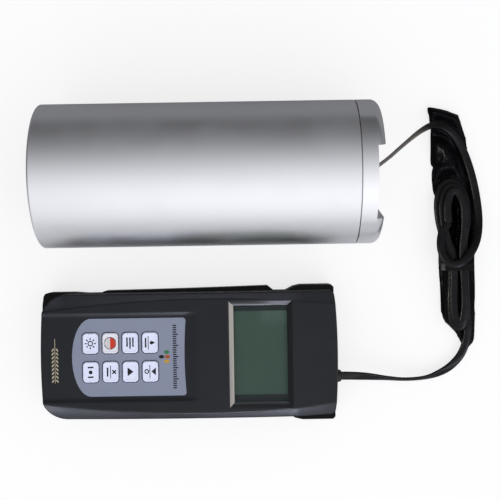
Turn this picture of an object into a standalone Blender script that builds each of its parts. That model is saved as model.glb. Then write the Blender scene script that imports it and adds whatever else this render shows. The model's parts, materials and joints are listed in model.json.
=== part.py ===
"""Grain moisture meter: a hand-held meter wired to a cylindrical sample cup.

Metres. The origin is the centre of the meter's back face, which rests on the
ground. +X runs along the meter from its keypad end to its display end, +Y
points from the meter to the cup, and +Z is up. The cup lies on its side, with
its mouth towards -X and its foot towards +X.
"""

import math

import bmesh
import bpy
from mathutils import Matrix, Vector

MM = 0.001
GAP = 0.3 * MM  # between neighbouring pieces

# Meter housing
METER_LENGTH = 161 * MM
METER_WIDTH = 68 * MM
METER_HEIGHT = 32 * MM
SPLIT_HEIGHT = 15 * MM  # the rear shell's rim
CORNER_RADIUS = 2.5 * MM
KEYPAD_CORNER_RADIUS = 11.5 * MM  # of the front shell's two corners at the keypad end
END_BOW = 1.5 * MM  # how far each end bulges at its middle
WALL = 2 * MM
ROOF = 3 * MM
CREASE_INSET = 3.2 * MM  # from the side to the top face, where the top is widest
CREASE_SWEEP = 5.1 * MM  # how much more that is at the housing's ends
CREASE_MIDDLE = 8 * MM
CHAMFER_SLOPE = 0.75
SLOPE_START = 56.5 * MM  # past the display, the top face falls towards the end
SLOPE_FALL = 5.5 * MM
DISH_DEPTH = 0.7 * MM  # shallow dish round the keypad
DISH_FLOOR = 43.6 * MM  # width
DISH_RIM = 48 * MM
DISH_RIGHT = 5 * MM

# Display
DISPLAY_X = 38.35 * MM
DISPLAY_Y = 0.6 * MM
DISPLAY_LENGTH = 29.1 * MM
DISPLAY_WIDTH = 52.4 * MM
DISPLAY_BEZEL = 2.6 * MM
DISPLAY_DEPTH = 2 * MM

# Keypad
OVERLAY_LEFT = -63.5 * MM
OVERLAY_RIGHT = -2 * MM
OVERLAY_WIDTH = 42 * MM
OVERLAY_ROUND = 10.2 * MM  # depth of the elliptical left end
OVERLAY_HOLLOW = 0.8 * MM  # how far the right edge curves in
OVERLAY_THICKNESS = 0.6 * MM
KEY_LENGTH = 8.4 * MM
KEY_WIDTH = 10.9 * MM
KEY_RADIUS = 1.9 * MM
KEY_PITCH_X = 10.7 * MM
KEY_PITCH_Y = 15.5 * MM
KEY_FIRST_X = -53.4 * MM
KEY_PROUD = 0.8 * MM  # above the overlay
KEY_CLEARANCE = 0.35 * MM
KEY_FLANGE = 0.7 * MM
KEY_NAMES = (
    ("key_select", "key_delete", "key_up", "key_zero_down"),
    ("key_light", "key_power", "key_read", "key_measure"),
)

# Boards, from the bottom up
BOARD_BOTTOM = 22.4 * MM
BOARD_TOP = 24 * MM
BOARD_LENGTH = 130 * MM
BOARD_WIDTH = 60 * MM

# Battery bay, for four AAA cells lying along X
CELL_RADIUS = 5.1 * MM
CELL_LENGTH = 44.5 * MM
CELL_PITCH = 11.2 * MM
CELL_HEIGHT = 8.3 * MM
BAY_LEFT = -77 * MM
BAY_RIGHT = -28 * MM
BAY_WIDTH = 46 * MM
BAY_TOP = 13.8 * MM
COVER_THICKNESS = 2 * MM
COVER_WIDTH = 49 * MM
COVER_RIGHT = -25.3 * MM
RAIL = 1 * MM

# Side grips and lugs of the rear shell
GRIP_LEFT = -51 * MM
GRIP_RIGHT = 42.7 * MM
GRIP_START = 1.2 * MM
GRIP_PROUD = 2.8 * MM
GRIP_RAMP = 3.5 * MM
GRIP_TOP = 13.5 * MM
LUG_LEFT = 53 * MM
LUG_RIGHT = 79.2 * MM
LUG_PROUD = 3.1 * MM
LUG_TOP = 20 * MM
SIDE_BOTTOM = 2 * MM  # of the grips and the lugs
CORNER_BLOCK_BOTTOM = 3.2 * MM  # clears the battery cover's way out

# Fasteners: (x, y) of one of each mirrored pair
CASE_SCREW_PLACES = ((-70 * MM, 29.5 * MM), (70 * MM, 26 * MM))
BOARD_SCREW_PLACES = ((-60 * MM, 26.5 * MM), (60 * MM, 26.5 * MM))

# Lead, hank, tie and pouch
LEAD_WIDTH = 4.2 * MM  # a flat cable
LEAD_THICKNESS = 2.6 * MM
LEAD_EXIT_Y = -14 * MM
HANK_X = 150.4 * MM
HANK_Y = 50 * MM
HANK_KNOTS = 39
HANK_SHRINK = 0.18  # of its width, per turn
HANK_RISE = 3 * MM  # per turn
HANK_LOWEST = 4.9 * MM
TIE_Y = 45.5 * MM
POUCH_THICKNESS = 2.6 * MM

# Cup
CUP_Y = 97.4 * MM
CUP_RADIUS = 38 * MM
CUP_WALL = 2.5 * MM
CUP_MOUTH = -75.9 * MM
CUP_SEAM = 89 * MM
CUP_END = 101.5 * MM
FOOT_ROUND = 4.5 * MM
FLOOR_X = 60 * MM  # the shoulder that the chamber floor sits against
THREAD_WALL = 1.8 * MM
CHANNEL_WIDTH = 37 * MM
CHANNEL_DEPTH = 4.2 * MM
CHANNEL_TURN = math.radians(14)
ELECTRODE_RADIUS = 9 * MM
ELECTRODE_TIP = -10 * MM

ROUND_STEPS = 56
SMALL_STEPS = 12


# ---------------------------------------------------------------- modelling


def material(name, colour, roughness, metallic=0.0):
    made = bpy.data.materials.new(name)
    made.use_nodes = True
    shader = made.node_tree.nodes["Principled BSDF"]
    shader.inputs["Base Color"].default_value = (*colour, 1)
    shader.inputs["Roughness"].default_value = roughness
    shader.inputs["Metallic"].default_value = metallic
    return made


def new_object(name, bm, finish=None, smooth=False):
    bmesh.ops.recalc_face_normals(bm, faces=bm.faces)
    mesh = bpy.data.meshes.new(name)
    bm.to_mesh(mesh)
    bm.free()
    if smooth:
        mesh.shade_smooth()
        mesh.set_sharp_from_angle(angle=math.radians(35))
    made = bpy.data.objects.new(name, mesh)
    bpy.context.scene.collection.objects.link(made)
    if finish:
        mesh.materials.append(finish)
    return made


def box(name, low, high, finish=None):
    """A box between two corners, with its origin at its middle."""
    size = Vector(high) - Vector(low)
    bm = bmesh.new()
    bmesh.ops.create_cube(bm, size=1)
    bmesh.ops.scale(bm, vec=size, verts=bm.verts)
    made = new_object(name, bm, finish)
    made.location = (Vector(high) + Vector(low)) / 2
    return made


def loft(name, rings, finish=None, smooth=False):
    """A closed solid through rings of equally many points, capped at both ends."""
    bm = bmesh.new()
    rows = [[bm.verts.new(point) for point in ring] for ring in rings]
    count = len(rows[0])
    for lower, upper in zip(rows, rows[1:]):
        for i in range(count):
            j = (i + 1) % count
            bm.faces.new((lower[i], lower[j], upper[j], upper[i]))
    bm.faces.new(rows[0])
    bm.faces.new(rows[-1])
    return new_object(name, bm, finish, smooth)


def at_height(outline, z):
    return [(x, y, z) for x, y in outline]


def prism(name, outline, bottom, top, finish=None):
    return loft(name, [at_height(outline, bottom), at_height(outline, top)], finish)


def revolve(name, profile, finish=None, steps=ROUND_STEPS):
    """A profile of (x, radius) points, turned round the X axis. It is a loop unless it ends on the axis."""
    bm = bmesh.new()
    rows = []
    for step in range(steps):
        turn = 2 * math.pi * step / steps
        row = [bm.verts.new((x, r * math.cos(turn), r * math.sin(turn))) for x, r in profile]
        rows.append(row)
    on_axis = profile[0][1] == 0 and profile[-1][1] == 0
    edges = len(profile) - 1 if on_axis else len(profile)
    for step in range(steps):
        here = rows[step]
        there = rows[(step + 1) % steps]
        for i in range(edges):
            j = (i + 1) % len(profile)
            bm.faces.new((here[i], here[j], there[j], there[i]))
    bmesh.ops.remove_doubles(bm, verts=bm.verts, dist=1e-6)
    return new_object(name, bm, finish, smooth=True)


def arc(centre, radius, start, end, segments):
    """Points on an arc, with angles in degrees."""
    points = []
    for i in range(segments + 1):
        angle = math.radians(start + (end - start) * i / segments)
        points.append((centre[0] + radius * math.cos(angle), centre[1] + radius * math.sin(angle)))
    return points


def rounded_rectangle(length, width, radius, segments=2, middle=(0, 0)):
    points = []
    for start, sx, sy in ((0, 1, 1), (90, -1, 1), (180, -1, -1), (270, 1, -1)):
        centre = (
            middle[0] + sx * (length / 2 - radius),
            middle[1] + sy * (width / 2 - radius),
        )
        points += arc(centre, radius, start, start + 90, segments)
    return points


def rods(name, places, radius, low, high, finish=None):
    """Upright round bars at several places, in one mesh."""
    bm = bmesh.new()
    for x, y in places:
        bmesh.ops.create_cone(
            bm,
            cap_ends=True,
            segments=SMALL_STEPS,
            radius1=radius,
            radius2=radius,
            depth=high - low,
            matrix=Matrix.Translation((x, y, (low + high) / 2)),
        )
    return new_object(name, bm, finish, smooth=True)


def combine(target, other, operation):
    """Adds a Boolean with a helper object, which is kept out of renders."""
    modifier = target.modifiers.new(operation.lower() + "_" + other.name, "BOOLEAN")
    modifier.operation = operation
    modifier.object = other
    other.hide_render = True
    other.display_type = "WIRE"
    return target


def cut(target, other):
    return combine(target, other, "DIFFERENCE")


def join(target, other):
    return combine(target, other, "UNION")


def child_of(parent, *pieces):
    for piece in pieces:
        piece.parent = parent


def stand_up(piece, place):
    """Turns a piece made along X so that it points up, and puts it at a place."""
    piece.rotation_euler = (0, -math.pi / 2, 0)
    piece.location = place
    return piece


def mirrored(places):
    return [(x, side * y) for x, y in places for side in (1, -1)]


# ---------------------------------------------------------------- housing


def housing_outline(inset=0.0, left_corner=CORNER_RADIUS):
    """Plan outline of the housing: rounded corners, with both ends slightly bowed."""
    half_length = METER_LENGTH / 2 - inset - END_BOW
    half_width = METER_WIDTH / 2 - inset
    points = []
    for side, start, edge in ((1, 0, 1), (-1, 90, 1), (-1, 180, -1), (1, 270, -1)):
        radius = (CORNER_RADIUS if side == 1 else left_corner) - inset
        straight = half_width - radius
        centre = (side * (half_length - radius), edge * straight)
        points += arc(centre, radius, start, start + 90, 4)
        if side != edge:
            points += [(side * half_length, edge * straight * k) for k in (0.5, 0, -0.5)]
    return [(x + math.copysign(END_BOW * (1 - (y / half_width) ** 2), x), y) for x, y in points]


def top_height(x):
    past = max(0.0, x - SLOPE_START) / (METER_LENGTH / 2 - SLOPE_START)
    return METER_HEIGHT - SLOPE_FALL * past


def crease_inset(x):
    """Distance from the side to the top face's edge, least near the middle."""
    return CREASE_INSET + CREASE_SWEEP * ((x - CREASE_MIDDLE) / (METER_LENGTH / 2)) ** 2


def roof_solid(name, lowered=0.0):
    """Everything below the housing's top face and its two long chamfers."""
    reach = METER_WIDTH / 2 + 4 * MM
    stations = [k * 15 * MM for k in range(-6, 4)] + [SLOPE_START, METER_LENGTH / 2 + 5 * MM]
    rings = []
    for x in stations:
        top = top_height(x) - lowered
        crease = METER_WIDTH / 2 - crease_inset(x)
        side = top - CHAMFER_SLOPE * (reach - crease)
        half = [(reach, 0), (reach, side), (crease, top)]
        section = half + [(-y, z) for y, z in reversed(half)]
        rings.append([(x, y, z) for y, z in section])
    return loft(name, rings)


def housing_solid(name, inset, lowered, bottom, finish=None):
    """The housing above a height, with rounder corners at the keypad end."""
    outline = housing_outline(inset, KEYPAD_CORNER_RADIUS)
    block = prism(name, outline, bottom, METER_HEIGHT + MM, finish)
    return combine(block, roof_solid(name + "_roof", lowered), "INTERSECT")


def keypad_dish():
    """A shallow trough along the top from the keypad end, which fades out past the keypad."""
    rings = []
    for x, depth in (
        (-METER_LENGTH / 2 - MM, DISH_DEPTH),
        (DISH_RIGHT - 6 * MM, DISH_DEPTH),
        (DISH_RIGHT, -0.2 * MM),
    ):
        half_rim = DISH_RIM / 2 + MM
        half_floor = DISH_FLOOR / 2
        low = METER_HEIGHT - depth
        high = low + DISH_DEPTH * (half_rim - half_floor) / (DISH_RIM / 2 - half_floor)
        top = METER_HEIGHT + 2 * MM
        half = [(half_rim, top), (half_rim, high), (half_floor, low)]
        section = half + [(-y, z) for y, z in reversed(half)]
        rings.append([(x, y, z) for y, z in section])
    return loft("keypad_dish", rings)


def overlay_top():
    return METER_HEIGHT - DISH_DEPTH + 0.2 * MM


def overlay_outline(grown=0.0):
    """Keypad overlay: elliptical left end, right edge curving slightly in."""
    half_width = OVERLAY_WIDTH / 2 + grown
    right = OVERLAY_RIGHT + grown
    middle = OVERLAY_LEFT + OVERLAY_ROUND
    corner = 1.5 * MM
    straight = half_width - corner
    points = [
        (right - OVERLAY_HOLLOW * (1 - k * k), straight * k) for k in (-0.6, -0.2, 0.2, 0.6)
    ]
    points += arc((right - corner, straight), corner, 0, 90, 3)
    for x, y in arc((0, 0), 1, 90, 270, 14):
        points.append((middle + x * (OVERLAY_ROUND + grown), y * half_width))
    points += arc((right - corner, -straight), corner, 270, 360, 3)
    return points


def key_places():
    return [
        (name, KEY_FIRST_X + column * KEY_PITCH_X, (row - 0.5) * KEY_PITCH_Y)
        for row, names in enumerate(KEY_NAMES)
        for column, name in enumerate(names)
    ]


def key_holes(name, bottom, top):
    """One mesh with a prism round every key, for cutting."""
    bm = bmesh.new()
    grown = 2 * KEY_CLEARANCE
    for _, x, y in key_places():
        outline = rounded_rectangle(
            KEY_LENGTH + grown, KEY_WIDTH + grown, KEY_RADIUS + KEY_CLEARANCE, middle=(x, y)
        )
        face = bm.faces.new([bm.verts.new(point) for point in at_height(outline, bottom)])
        raised = bmesh.ops.extrude_face_region(bm, geom=[face])
        moved = [item for item in raised["geom"] if isinstance(item, bmesh.types.BMVert)]
        bmesh.ops.translate(bm, vec=(0, 0, top - bottom), verts=moved)
    return new_object(name, bm)


def front_shell(finish):
    bottom = SPLIT_HEIGHT + GAP
    shell = housing_solid("front_shell", 0, 0, bottom, finish)
    cut(shell, housing_solid("front_cavity", WALL, ROOF, bottom - MM))
    posts = rods("front_posts", mirrored(CASE_SCREW_PLACES), 3.5 * MM, bottom, 26.8 * MM)
    join(shell, posts)
    board_posts = rods(
        "board_posts", mirrored(BOARD_SCREW_PLACES), 2.6 * MM, BOARD_TOP + GAP, 29.6 * MM
    )
    join(shell, board_posts)
    cut(shell, rods("front_pilots", mirrored(CASE_SCREW_PLACES), 1.6 * MM, bottom - MM, 23 * MM))
    cut(shell, rods("board_pilots", mirrored(BOARD_SCREW_PLACES), 1.2 * MM, BOARD_TOP, 28.5 * MM))
    cut(shell, display_recess())
    cut(shell, keypad_dish())
    overlay_floor = overlay_top() - OVERLAY_THICKNESS - GAP
    cut(shell, prism("overlay_recess", overlay_outline(GAP), overlay_floor, METER_HEIGHT + MM))
    cut(shell, key_holes("front_key_holes", METER_HEIGHT - ROOF - MM, METER_HEIGHT))
    cut(shell, gland_hole("front_gland_hole"))
    return shell


def display_recess():
    """The display opening: sloping sides down to a straight lip."""
    floor = METER_HEIGHT - DISPLAY_DEPTH
    rings = []
    for grown, z in (
        (0, METER_HEIGHT - ROOF - MM),
        (0, floor),
        (DISPLAY_BEZEL, METER_HEIGHT),
        (1.5 * DISPLAY_BEZEL, METER_HEIGHT + MM),
    ):
        x = DISPLAY_LENGTH / 2 + grown
        y = DISPLAY_WIDTH / 2 + grown
        corners = [(x, y), (-x, y), (-x, -y), (x, -y)]
        rings.append([(DISPLAY_X + dx, DISPLAY_Y + dy, z) for dx, dy in corners])
    return loft("display_recess", rings)


def gland_hole(name):
    hole = revolve(name, [(70 * MM, 0), (70 * MM, 4 * MM), (82 * MM, 4 * MM), (82 * MM, 0)], steps=24)
    hole.location = (0, LEAD_EXIT_Y, SPLIT_HEIGHT)
    return hole


def side_strip(name, outline, side, top):
    """A strip that stands out of one side of the rear shell, from its (x, proud) outline."""
    root = METER_WIDTH / 2 - 1.5 * MM
    points = [(outline[-1][0], root), (outline[0][0], root)]
    points += [(x, METER_WIDTH / 2 + proud) for x, proud in outline]
    return prism(name, [(x, side * y) for x, y in points], SIDE_BOTTOM, top)


def grip_outline():
    """Starts with a small step, grows towards the display end and ramps back to the side."""
    outline = [(GRIP_LEFT, 0), (GRIP_LEFT + 3 * MM, GRIP_START)]
    for along in (0.3, 0.55, 0.8):
        x = GRIP_LEFT + (GRIP_RIGHT - GRIP_LEFT) * along
        outline.append((x, GRIP_START + (GRIP_PROUD - GRIP_START) * along**1.5))
    return outline + [(GRIP_RIGHT, GRIP_PROUD), (GRIP_RIGHT + GRIP_RAMP, 0)]


def lug_outline():
    return [
        (LUG_LEFT, 0),
        (LUG_LEFT + 4 * MM, 0.7 * LUG_PROUD),
        (LUG_LEFT + 8 * MM, LUG_PROUD),
        (LUG_RIGHT - 1.3 * MM, LUG_PROUD),
        (LUG_RIGHT, LUG_PROUD - 1.3 * MM),
        (LUG_RIGHT, -MM),
    ]


def corner_block():
    """The rear shell's square corner at the keypad end, which stands out on the cup's side."""
    outline = [
        (-58, 32),
        (-58, 34),
        (-66, 34.7),
        (-79.4, 34.7),
        (-81.3, 34),
        (-82.2, 32.5),
        (-82.8, 28),
        (-82.9, 24.5),
        (-80, 22),
        (-78, 22),
        (-74, 32),
    ]
    outline = [(x * MM, y * MM) for x, y in outline]
    return prism("corner_block", outline, CORNER_BLOCK_BOTTOM, SPLIT_HEIGHT)


def rear_shell(finish):
    ease = 1.5 * MM
    rings = [
        at_height(housing_outline(ease), 0),
        at_height(housing_outline(), ease),
        at_height(housing_outline(), SPLIT_HEIGHT),
    ]
    shell = loft("rear_shell", rings, finish)
    for side, word in ((1, "cup_side"), (-1, "near_side")):
        join(shell, side_strip("grip_" + word, grip_outline(), side, GRIP_TOP))
        join(shell, side_strip("lug_" + word, lug_outline(), side, LUG_TOP))
    join(shell, corner_block())
    cut(shell, prism("front_room", housing_outline(-GAP), SPLIT_HEIGHT, METER_HEIGHT))
    inner_half = METER_WIDTH / 2 - WALL
    rim = SPLIT_HEIGHT + MM
    room = box("board_room", (-26 * MM, -inner_half, WALL), (METER_LENGTH / 2 - 14 * MM, inner_half, rim))
    cut(shell, room)
    end_half = METER_WIDTH / 2 - 10 * MM
    cut(shell, box("end_room", (60 * MM, -end_half, WALL), (77 * MM, end_half, rim)))
    bay_half = BAY_WIDTH / 2
    cut(shell, box("battery_bay", (BAY_LEFT, -bay_half, -MM), (BAY_RIGHT, bay_half, BAY_TOP)))
    for side in (1, -1):
        near, far = sorted((side * 25 * MM, side * inner_half))
        pocket = box(f"side_pocket_{side}", (-68 * MM, near, 4.5 * MM), (BAY_RIGHT, far, rim))
        cut(shell, pocket)
    cut(shell, cover_slot())
    join(shell, rods("rear_posts", mirrored(CASE_SCREW_PLACES[1:]), 3.9 * MM, MM, SPLIT_HEIGHT))
    places = mirrored(CASE_SCREW_PLACES)
    cut(shell, rods("rear_screw_holes", places, 1.6 * MM, -MM, rim))
    cut(shell, rods("rear_counterbores", places, 2.9 * MM, -MM, 2.6 * MM))
    cut(shell, gland_hole("rear_gland_hole"))
    return shell


def cover_section(grown):
    """Half-widths and heights of the battery cover, with a rail along each side."""
    half = COVER_WIDTH / 2 + grown
    return half, half + RAIL


def cover_slot():
    """Where the battery cover slides, open at the keypad end."""
    half, rail = cover_section(GAP)
    top = COVER_THICKNESS + 2 * GAP
    section = [(half, -MM), (half, 0.9 * MM), (rail, 0.9 * MM), (rail, top)]
    section += [(-y, z) for y, z in reversed(section)]
    ends = (-METER_LENGTH / 2 - MM, COVER_RIGHT + GAP)
    return loft("cover_slot", [[(x, y, z) for y, z in section] for x in ends])


def battery_cover(finish):
    """Slides off towards the keypad end, on a rail at each side."""
    half, rail = cover_section(0)
    bottom = 0.1 * MM
    lip = 1.2 * MM
    top = COVER_THICKNESS + GAP
    section = [(half, bottom), (half, lip), (rail, lip), (rail, top)]
    section += [(-y, z) for y, z in reversed(section)]
    ends = (-METER_LENGTH / 2 + END_BOW, COVER_RIGHT)
    middle = sum(ends) / 2
    rings = [[(x - middle, y, z) for y, z in section] for x in ends]
    cover = loft("battery_cover", rings, finish)
    cover.location.x = middle
    return cover


# ---------------------------------------------------------------- meter parts


def display_parts(finishes):
    flange_bottom = METER_HEIGHT - ROOF - GAP - 0.8 * MM
    flange_top = METER_HEIGHT - ROOF - GAP
    rings = []
    for grown, z in (
        (1.8 * MM, flange_bottom),
        (1.8 * MM, flange_top),
        (-GAP, flange_top),
        (-GAP, METER_HEIGHT - DISPLAY_DEPTH),
    ):
        outline = rounded_rectangle(
            DISPLAY_LENGTH + 2 * grown,
            DISPLAY_WIDTH + 2 * grown,
            0.6 * MM,
            middle=(DISPLAY_X, DISPLAY_Y),
        )
        rings.append(at_height(outline, z))
    loft("display_window", rings, finishes["window"])
    half_length = DISPLAY_LENGTH / 2
    half_width = DISPLAY_WIDTH / 2
    low = (DISPLAY_X - half_length, DISPLAY_Y - half_width, BOARD_TOP + GAP)
    high = (DISPLAY_X + half_length, DISPLAY_Y + half_width, BOARD_TOP + 1.9 * MM)
    box("backlight_panel", low, high, finishes["white_plastic"])
    low = (low[0], low[1], high[2] + GAP)
    high = (high[0], high[1], flange_bottom - GAP)
    box("display_glass", low, high, finishes["display"])


def main_board(finish):
    low = (-BOARD_LENGTH / 2, -BOARD_WIDTH / 2, BOARD_BOTTOM)
    board = box("main_board", low, (BOARD_LENGTH / 2, BOARD_WIDTH / 2, BOARD_TOP), finish)
    places = mirrored(BOARD_SCREW_PLACES)
    return cut(board, rods("board_holes", places, 1.2 * MM, BOARD_BOTTOM - MM, BOARD_TOP + MM))


def dome_sheet(finish):
    """Thin sheet on the board, with a snap dome under each key."""
    low = (OVERLAY_LEFT + 3 * MM, -OVERLAY_WIDTH / 2 + 2 * MM, BOARD_TOP + GAP)
    high = (OVERLAY_RIGHT - 8 * MM, OVERLAY_WIDTH / 2 - 2 * MM, low[2] + 0.4 * MM)
    sheet = box("key_dome_sheet", low, high, finish)
    bm = bmesh.new()
    for _, x, y in key_places():
        bmesh.ops.create_cone(
            bm,
            cap_ends=True,
            segments=12,
            radius1=3 * MM,
            radius2=2 * MM,
            depth=MM,
            matrix=Matrix.Translation((x, y, high[2] + 0.2 * MM)),
        )
    return join(sheet, new_object("domes", bm))


def keypad_overlay(finish):
    top = overlay_top()
    overlay = prism("keypad_overlay", overlay_outline(), top - OVERLAY_THICKNESS, top, finish)
    return cut(overlay, key_holes("overlay_key_holes", METER_HEIGHT - ROOF, METER_HEIGHT + MM))


def key(name, x, y, finish):
    """A key whose origin is the centre of its top, with a flange that keeps it in the shell."""
    top = overlay_top() + KEY_PROUD
    bottom = BOARD_TOP + 2.2 * MM
    ease = 0.4 * MM
    rings = []
    for grown, z in (
        (KEY_FLANGE, bottom),
        (KEY_FLANGE, bottom + MM),
        (0, bottom + MM),
        (0, top - ease),
        (-ease, top),
    ):
        outline = rounded_rectangle(
            KEY_LENGTH + 2 * grown, KEY_WIDTH + 2 * grown, KEY_RADIUS + grown, segments=3
        )
        rings.append(at_height(outline, z - top))
    made = loft(name, rings, finish)
    made.location = (x, y, top)
    return made


def screw(name, place, head_radius, head_height, shank_radius, length, finish):
    """A screw that points up, with the bottom of its head at the place."""
    profile = [
        (0, 0),
        (0, head_radius),
        (head_height, head_radius),
        (head_height, shank_radius),
        (length, shank_radius),
        (length, 0),
    ]
    return stand_up(revolve(name, profile, finish, steps=SMALL_STEPS), place)


def meter_screws(finish):
    for number, (x, y) in enumerate(mirrored(CASE_SCREW_PLACES), 1):
        place = (x, y, 0.5 * MM)
        screw(f"case_screw_{number}", place, 2.6 * MM, 1.8 * MM, 1.3 * MM, 21 * MM, finish)
    for number, (x, y) in enumerate(mirrored(BOARD_SCREW_PLACES), 1):
        place = (x, y, BOARD_BOTTOM - GAP - 1.2 * MM)
        screw(f"board_screw_{number}", place, 1.9 * MM, 1.2 * MM, 0.9 * MM, 6.4 * MM, finish)


def cell_rows():
    return [(i - 1.5) * CELL_PITCH for i in range(4)]


def batteries(finish):
    """Four cells in the bay, each turned the other way from its neighbour."""
    nub = MM
    half = CELL_LENGTH / 2
    profile = [
        (-half, 0),
        (-half, CELL_RADIUS),
        (half - nub, CELL_RADIUS),
        (half - nub, 1.9 * MM),
        (half, 1.9 * MM),
        (half, 0),
    ]
    middle = BAY_LEFT + 1.9 * MM + GAP + half
    for number, y in enumerate(cell_rows(), 1):
        cell = revolve(f"battery_{number}", profile, finish, steps=20)
        cell.location = (middle, y, CELL_HEIGHT)
        if number % 2:
            cell.rotation_euler.z = math.pi


def contact_plate(name, wall_x, direction, reach, finish):
    """A plate on an end wall of the bay, with a cone towards each cell."""
    thickness = 0.5 * MM
    near = wall_x + direction * GAP
    far = near + direction * thickness
    half = BAY_WIDTH / 2 - 0.5 * MM
    low = (min(near, far), -half, CELL_HEIGHT - 4.5 * MM)
    plate = box(name, low, (max(near, far), half, CELL_HEIGHT + 4.5 * MM), finish)
    bm = bmesh.new()
    depth = reach - thickness / 2
    turn = Matrix.Rotation(direction * math.pi / 2, 4, "Y")
    for y in cell_rows():
        place = (near + direction * (thickness / 2 + depth / 2), y, CELL_HEIGHT)
        bmesh.ops.create_cone(
            bm,
            cap_ends=True,
            segments=12,
            radius1=2.8 * MM,
            radius2=1.6 * MM,
            depth=depth,
            matrix=Matrix.Translation(place) @ turn,
        )
    return join(plate, new_object(name + "_cones", bm))


def meter_gland(finish):
    """The lead's grommet, held between the two shells."""
    bore = LEAD_WIDTH / 2 + GAP
    profile = [
        (75 * MM, bore),
        (75 * MM, 5.2 * MM),
        (76.6 * MM, 5.2 * MM),
        (76.6 * MM, 3.7 * MM),
        (81 * MM, 3.7 * MM),
        (83 * MM, 3.1 * MM),
        (83 * MM, bore),
    ]
    gland = revolve("meter_gland", profile, finish, steps=24)
    gland.location = (0, LEAD_EXIT_Y, SPLIT_HEIGHT)
    return gland


# ---------------------------------------------------------------- lead


def hank_point(knot):
    """A knot of the hank: a wide upper loop and a long narrow lower one, wound anticlockwise."""
    loop = [
        (155.8, 22.8),
        (155.2, 39.8),
        (154.6, 55.7),
        (156.9, 72.6),
        (155.8, 86.2),
        (149.6, 94.2),
        (143.4, 93),
        (139.8, 85.1),
        (139.8, 73.8),
        (142.8, 61.3),
        (147, 50.5),
        (147, 37),
        (146.2, 22.8),
        (147.8, 11.4),
        (153.2, 10.2),
    ]
    turns = knot / len(loop)
    x, y = loop[knot % len(loop)]
    x = HANK_X + (x * MM - HANK_X) * (1 - HANK_SHRINK * turns)
    y = HANK_Y + (y * MM - HANK_Y) * (1 - HANK_SHRINK / 3 * turns)
    return Vector((x, y, HANK_LOWEST + HANK_RISE * turns))


def lead_knots():
    """(point, tilt) from inside the meter, round the hank and up to the middle of the cup's foot.

    The flat cable lies on its wide side where the tilt is 0, and stands on edge at 90 degrees.
    """
    from_meter = [
        (73, -14, 15, 0),
        (86, -14.1, 15, 0),
        (97, -14.9, 13, 25),
        (108.6, -16.6, 9, 60),
        (120.4, -17.9, 6, 75),
        (132, -17.3, 4.6, 65),
        (141, -14.4, 4.3, 30),
        (148, -9.8, 4.3, 10),
        (153.6, -2.6, 4.3, 0),
        (156.4, 8, 4.6, 0),
    ]
    to_cup = [
        (140.8, 64, 13.6, 0),
        (140, 56, 15, 0),
        (142.4, 49.4, 16.4, 0),
        (147, 47, 16.8, 0),
        (152.6, 49.2, 16, 0),
        (157.6, 54.6, 14, 0),
        (161.4, 62, 10.5, 0),
        (163.3, 72, 6.6, 0),
        (162.8, 84, 4.6, 0),
        (160.4, 97, 4.3, 0),
        (156.6, 109, 4.6, 0),
        (151.4, 118.4, 6.5, 5),
        (145.2, 124, 9, 15),
        (138, 125.4, 12, 30),
        (129.5, 121.5, 17, 50),
        (119, 113.6, 24.5, 65),
        (108, 104.6, 32.5, 70),
        (99.4, 98.2, 37.4, 70),
    ]
    start = [(Vector(place) * MM, tilt) for *place, tilt in from_meter]
    hank = [(hank_point(knot), 0) for knot in range(HANK_KNOTS)]
    end = [(Vector(place) * MM, tilt) for *place, tilt in to_cup]
    return start + hank + end


def lead_section():
    """The flat cable's cross-section, as a guide for the lead to follow."""
    bpy.ops.curve.primitive_bezier_circle_add(radius=1)
    section = bpy.context.object
    section.name = "lead_section"
    section.scale = (LEAD_WIDTH / 2, LEAD_THICKNESS / 2, 1)
    bpy.ops.object.transform_apply(location=False, rotation=False, scale=True)
    section.data.resolution_u = 2
    section.hide_render = True
    section.display_type = "WIRE"
    return section


def sensor_lead(finish):
    curve = bpy.data.curves.new("sensor_lead", "CURVE")
    curve.dimensions = "3D"
    curve.twist_mode = "Z_UP"
    curve.bevel_mode = "OBJECT"
    curve.bevel_object = lead_section()
    curve.resolution_u = 3
    curve.use_fill_caps = True
    knots = lead_knots()
    spline = curve.splines.new("BEZIER")
    spline.bezier_points.add(len(knots) - 1)
    for knot, (place, tilt) in zip(spline.bezier_points, knots):
        knot.co = place
        knot.tilt = math.radians(tilt)
        knot.handle_left_type = "AUTO"
        knot.handle_right_type = "AUTO"
    curve.materials.append(finish)
    lead = bpy.data.objects.new("sensor_lead", curve)
    bpy.context.scene.collection.objects.link(lead)
    return lead


def lead_tie(finish):
    """A band round the hank, at its waist."""
    inner = 7.2 * MM
    band = MM
    half_width = 2 * MM
    floor = POUCH_THICKNESS + GAP
    top = HANK_LOWEST + HANK_RISE * 2.4 + LEAD_THICKNESS / 2 + GAP
    low = (HANK_X - inner, TIE_Y - half_width, floor + 0.5 * MM)
    high = (HANK_X + inner, TIE_Y + half_width, top)
    outer_low = (low[0] - band, low[1], floor)
    outer_high = (high[0] + band, high[1], top + band)
    tie = box("lead_tie", outer_low, outer_high, finish)
    hole = box("tie_hole", (low[0], low[1] - MM, low[2]), (high[0], high[1] + MM, high[2]))
    return cut(tie, hole)


def pouch(finish):
    """A flat, soft pouch under the hank, pointed at one corner and narrow at the meter's end."""
    outline = [
        (134.8, 138),
        (136.8, 127),
        (137.2, 115.5),
        (138.7, 95.5),
        (141, 57),
        (141.6, 18.5),
        (143.4, 13.8),
        (150, 6.8),
        (153.5, 0),
        (156.8, -2.5),
        (160.7, 2),
        (162.6, 24),
        (162.8, 50),
        (165.6, 71),
        (164.8, 86),
        (158.6, 120),
        (153.5, 133.6),
        (145, 136.6),
    ]
    outline = [(x * MM, y * MM) for x, y in outline]
    return prism("lead_pouch", outline, 0.05 * MM, POUCH_THICKNESS, finish)


# ---------------------------------------------------------------- cup


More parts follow.
